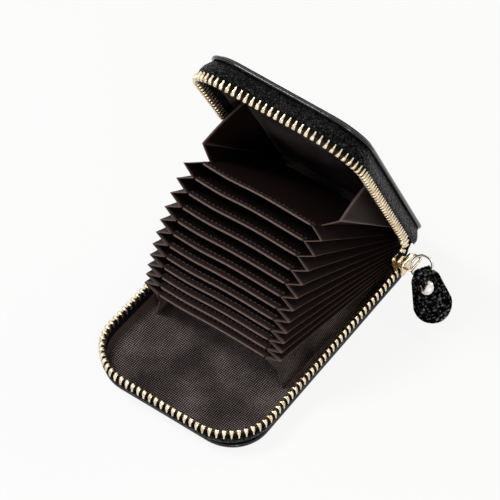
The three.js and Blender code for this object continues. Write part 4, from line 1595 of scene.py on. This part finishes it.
@dataclass
class Pull:
    """The wire ring, the folded leather strap and its rivet."""

    shop: Workshop
    bar: Triple = (38.7, 46.0, 14.5)
    facing: float = 0.0
    tilt: float = 50.0
    ring_turn: float = 10.0
    strap_turn: float = -44.0
    ring_radius: float = 4.0
    wire: float = 0.5
    ring_offset: float = 2.3
    fold_start: float = 1.936
    fold_radius: float = 1.25
    layer: float = 0.9
    start: float = 0.236
    end: float = 20.736
    top_half: float = 3.0
    shoulder: float = 4.55
    flare: float = 3.6
    half: float = 7.25
    straight: float = 0.8
    rivet_x: float = 7.836
    tail: float = 5.2
    ring_gap: float = 1.2
    ring_steps: int = 72
    wire_sides: int = 14
    flat_steps: int = 62
    fold_steps: int = 14
    ramp_end: float = 2.6
    columns: int = 56
    column_crowding: float = 0.35
    crown: float = 0.12
    back_share: float = 0.46
    end_share: float = 1.4
    least_half: float = 0.05
    edge_round: float = 0.45
    grain_edge: float = 0.6
    grain_paces: Triple = (1.25, 0.8, 0.4)
    grain_warp: float = 0.6
    grain_cell: float = 1.2
    grain_height: float = 0.3
    grain_base: float = 0.2
    grain_dark: float = 0.08
    grain_span: float = 0.2
    rivet_steps: int = 40
    rivet_cap: Section = ((0.0, -1.0), (1.05, -1.0), (1.05, 0.88), (2.45, 0.88), (2.6, 1.0),
                                   (2.6, 1.18), (2.48, 1.32), (2.2, 1.42), (2.1, 1.56), (1.75, 1.85),
                                   (1.2, 2.04), (0.6, 2.13), (0.0, 2.15))
    rivet_back: Section = ((0.0, -1.88), (1.4, -1.86), (1.95, -1.76), (2.25, -1.52), (2.3, -1.3),
                                    (2.2, -1.2), (0.0, -1.2))

    def face(self, turn: float) -> Matrix:
        """The frame on the pull's face at an angle from the slider: X along, Y across, Z out."""
        tilt, facing = math.radians(self.tilt), math.radians(self.facing)
        level = Vector((math.sin(facing), -math.cos(facing), 0))
        out = level * math.cos(tilt) + UP * math.sin(tilt)
        side = (Vector((1, 0, 0)) - out * out.x).normalized()
        up = out.cross(side)
        angle = math.radians(turn)
        along = side * math.cos(angle) + up * math.sin(angle)
        return Matrix((along, out.cross(along), out)).transposed()

    @property
    def ring_centre(self) -> Vector:
        """The middle of the ring."""
        return Vector(self.bar) + self.face(self.ring_turn) @ Vector((self.ring_offset, 0, 0))

    def on_strap(self, place: Vector) -> Vector:
        """A point of the strap's own frame in the holder's."""
        return self.ring_centre + self.face(self.strap_turn) @ place

    def ring(self) -> None:
        """The wire ring, with its butted ends under the strap."""
        turned_face = self.face(self.strap_turn)
        rings = []
        for i in range(self.ring_steps + 1):
            angle = math.radians(mix(self.ring_gap, 360 - self.ring_gap, i / self.ring_steps))
            out = Vector((math.cos(angle), math.sin(angle), 0))
            rings.append([self.ring_centre + turned_face @ (
                out * (self.ring_radius + self.wire * math.cos(turn)) + UP * (self.wire * math.sin(turn)))
                for turn in ring_angles(self.wire_sides)])
        settle(self.shop.tube("pull_ring_wire", rings, "nickel", 50.0), "pull_ring", "steel", "pull_ring")

    def width(self, x: float) -> float:
        """Half of the strap's width at a distance from the ring's centre."""
        first, last = self.start + self.straight, self.end - self.half
        if x <= first:
            return self.top_half
        if x >= last:
            return math.sqrt(max(0.0, self.half ** 2 - (x - last) ** 2))
        taper = mix(self.shoulder, self.half, (x - first) / (last - first))
        return taper - (self.shoulder - self.top_half) * (1 - smooth((x - first) / self.flare))

    def strap_line(self) -> list[tuple[Vector, Vector]]:
        """The strip's middle line with its outward direction: back layer, fold, face layer."""
        far = 0.5 * self.layer
        flat = [mix(self.tail, self.end, math.sin(math.pi / 2 * i / self.flat_steps))
                for i in range(self.flat_steps + 1)]
        ramp = [mix(self.tail, self.fold_start, i / self.fold_steps) for i in range(1, self.fold_steps + 1)]
        face = []
        for x in [*reversed(flat), *ramp]:
            share = smooth((x - self.ramp_end) / (self.tail - self.ramp_end))
            face.append((x, mix(self.fold_radius, far, share)))
        line = [(Vector((x, 0, -z)), -UP) for x, z in face]
        for i in range(1, self.fold_steps):
            angle = math.pi * (1.5 - i / self.fold_steps)
            out = Vector((math.cos(angle), 0, math.sin(angle)))
            line.append((RIGHT * self.fold_start + out * self.fold_radius, out))
        line += [(Vector((x, 0, z)), UP) for x, z in reversed(face)]
        return line

    def pebble(self, place: Vector) -> float:
        """Height of the coarse grain at a point of the strap."""
        spot = Vector(pace * value for pace, value in zip(self.grain_paces, place))
        warp = Vector((*(soft_noise(0.9 * spot.x, 0.9 * spot.y, level) for level in (8.0, 5.0)), 0))
        near, second = noise.voronoi((spot + self.grain_warp * warp) / self.grain_cell)[0][:2]
        fine = 0.06 * soft_noise(2.1 * spot.x, 2.1 * spot.y, 3.0)
        return self.grain_height * smooth(1.6 * (second - near)) ** 0.8 + fine

    def strap(self) -> None:
        """The strip folded over the ring, with a coarse pebbled face and rounded cut edges."""
        table = []
        for point, out in self.strap_line():
            half = max(self.width(point.x), self.least_half)
            row = []
            for even in even_steps(-1, 1, self.columns):
                share = mix(even, math.sin(math.pi / 2 * even), self.column_crowding)
                flat = point + Vector((0, half * share, 0))
                left = min(half * (1 - abs(share)), self.end_share * (self.end - point.x) + 0.02)
                soft = math.sqrt(clamp(1 - (1 - clamp(left / self.edge_round)) ** 2, 0.02, 1.0))
                pebble = self.pebble(flat)
                grain = (pebble - self.grain_base) * smooth(left / self.grain_edge)
                crown = self.crown * (1 - share * share)
                near = self.on_strap(flat + out * (soft * (0.5 * self.layer + crown) + grain))
                far = self.on_strap(flat - out * self.back_share * self.layer * soft)
                # Pebble tops are marked for a painted highlight; the hollows below stay unmarked and take
                # painted shade.
                high = smooth((pebble - self.grain_dark) / self.grain_span)
                row.append((near, far, (flat.x, flat.y), high))
            table.append(row)
        obj = self.shop.woven("pull_strap_leather", table, "strap", 75.0)
        settle(obj, "pull_strap", "leather", "pull_strap")

    def rivet(self) -> None:
        """The domed cap with its post, and the flat cap on the back."""
        for name, profile, node in (("rivet_dome", self.rivet_cap, "rivet_cap"),
                                    ("rivet_foot", self.rivet_back, "rivet_back")):
            rings = turned(tuple((max(r, 0.01), h) for r, h in profile), self.rivet_steps)
            rings = [[self.on_strap(point + RIGHT * self.rivet_x) for point in ring] for ring in rings]
            settle(self.shop.tube(name, rings, "nickel", 38.0), "pull_strap", "steel", node)

    def build(self) -> None:
        """Makes the pull's pieces."""
        self.ring()
        self.strap()
        self.rivet()


# Studio


@dataclass
class Studio:
    """Pale floor, soft light and the camera of the picture."""

    azimuth: float = 36.2
    elevation: float = 51.74
    distance: float = 1427.0
    lens: float = 292.8
    aim: Triple = (0.0, 6.2, 23.8)
    shift_right: float = -4.09
    shift_up: float = 6.77
    ambient: float = 0.3
    floor_half: float = 3.0
    floor_z: float = -0.0002
    floor_glow: float = 0.88
    lamp_aim: Triple = (0.0, 0.0, 0.03)

    def camera(self) -> None:
        """Places the camera."""
        a, e = math.radians(self.azimuth), math.radians(self.elevation)
        right = Vector((math.cos(a), math.sin(a), 0))
        back = Vector((math.sin(a) * math.cos(e), -math.cos(a) * math.cos(e), math.sin(e)))
        up = back.cross(right)
        centre = Vector(self.aim) + right * self.shift_right + up * self.shift_up
        data = bpy.data.cameras.new("camera")
        data.lens, data.sensor_width = self.lens, 36.0
        data.clip_start, data.clip_end = 0.05, 20.0
        obj = bpy.data.objects.new("camera", data)
        turn = Matrix((right, up, back)).transposed().to_4x4()
        obj.matrix_world = Matrix.Translation((centre + back * self.distance) * MM) @ turn
        bpy.context.scene.collection.objects.link(obj)
        bpy.context.scene.camera = obj

    def seen(self, wires: Wiring) -> Socket:
        """1 for what the camera sees, also in polished metal or through glass."""
        path = wires.node("ShaderNodeLightPath").outputs
        direct = wires.math("MAXIMUM", path["Is Camera Ray"], path["Is Glossy Ray"])
        return wires.math("MAXIMUM", direct, path["Is Transmission Ray"])

    def floor(self) -> None:
        """A wide pale floor that stays white and keeps the shadow."""
        mesh = bpy.data.meshes.new("floor")
        corners = ((-1, -1), (1, -1), (1, 1), (-1, 1))
        mesh.from_pydata([(self.floor_half * x, self.floor_half * y, self.floor_z) for x, y in corners], [],
                         [(0, 1, 2, 3)])
        obj = bpy.data.objects.new("floor", mesh)
        bpy.context.scene.collection.objects.link(obj)
        material = bpy.data.materials.new("pale_floor")
        material.use_nodes = True
        wires = Wiring(material.node_tree)
        wires.tree.nodes.clear()
        matt = wires.node("ShaderNodeBsdfDiffuse", Color=(0.9, 0.9, 0.9, 1)).outputs[0]
        glow = wires.node("ShaderNodeEmission").outputs[0]
        share = wires.math("MULTIPLY", self.seen(wires), self.floor_glow)
        joined = wires.fill(wires.node("ShaderNodeMixShader"), share, matt, glow)
        wires.node("ShaderNodeOutputMaterial", Surface=joined)
        mesh.materials.append(material)

    def world(self) -> None:
        """A white surround to look at that lights the holder only softly."""
        world = bpy.data.worlds.new("surround")
        bpy.context.scene.world = world
        world.use_nodes = True
        wires = Wiring(world.node_tree)
        strength = wires.node("ShaderNodeMapRange", Value=self.seen(wires), To_Min=self.ambient, To_Max=1.0)
        wires.fill(world.node_tree.nodes["Background"], (1, 1, 1, 1), strength.outputs["Result"])

    def lamp(self, name: str, place: Triple, size: float, watts: float,
             colour: Colour = (1.0, 1.0, 1.0)) -> None:
        """A soft square lamp that faces the holder."""
        data = bpy.data.lights.new(name, "AREA")
        data.size, data.energy, data.color = size, watts, colour
        obj = bpy.data.objects.new(name, data)
        obj.location = place
        obj.rotation_euler = (Vector(self.lamp_aim) - Vector(place)).to_track_quat("-Z", "Y").to_euler()
        bpy.context.scene.collection.objects.link(obj)

    def build(self) -> None:
        """Sets up the picture."""
        bpy.context.scene.view_settings.view_transform = "Standard"
        self.camera()
        self.floor()
        self.world()
        self.lamp("key", (-0.35, -0.25, 0.75), 0.22, 3.4)
        self.lamp("front", (0.5, -0.55, 0.42), 0.18, 1.5)
        self.lamp("rear", (0.25, 0.6, 0.6), 0.2, 1.2, (1.0, 0.82, 0.6))


def main() -> None:
    """Builds the holder and its studio."""
    logging.basicConfig(level=logging.INFO, format="%(message)s")
    Studio().build()
    shapes = SmallShapes()
    shop = Workshop(make_palette(Finishes()), PathRow(), shapes.tooth(), shapes.stitch())
    for side in Side:
        Cover(side, shop).build()
    Fan(shop).build()
    Spine(shop).build()
    ZipEnd(shop).build()
    Slider(shop).build()
    Pull(shop).build()
    shop.clear()


if __name__ == "__main__":
    main()
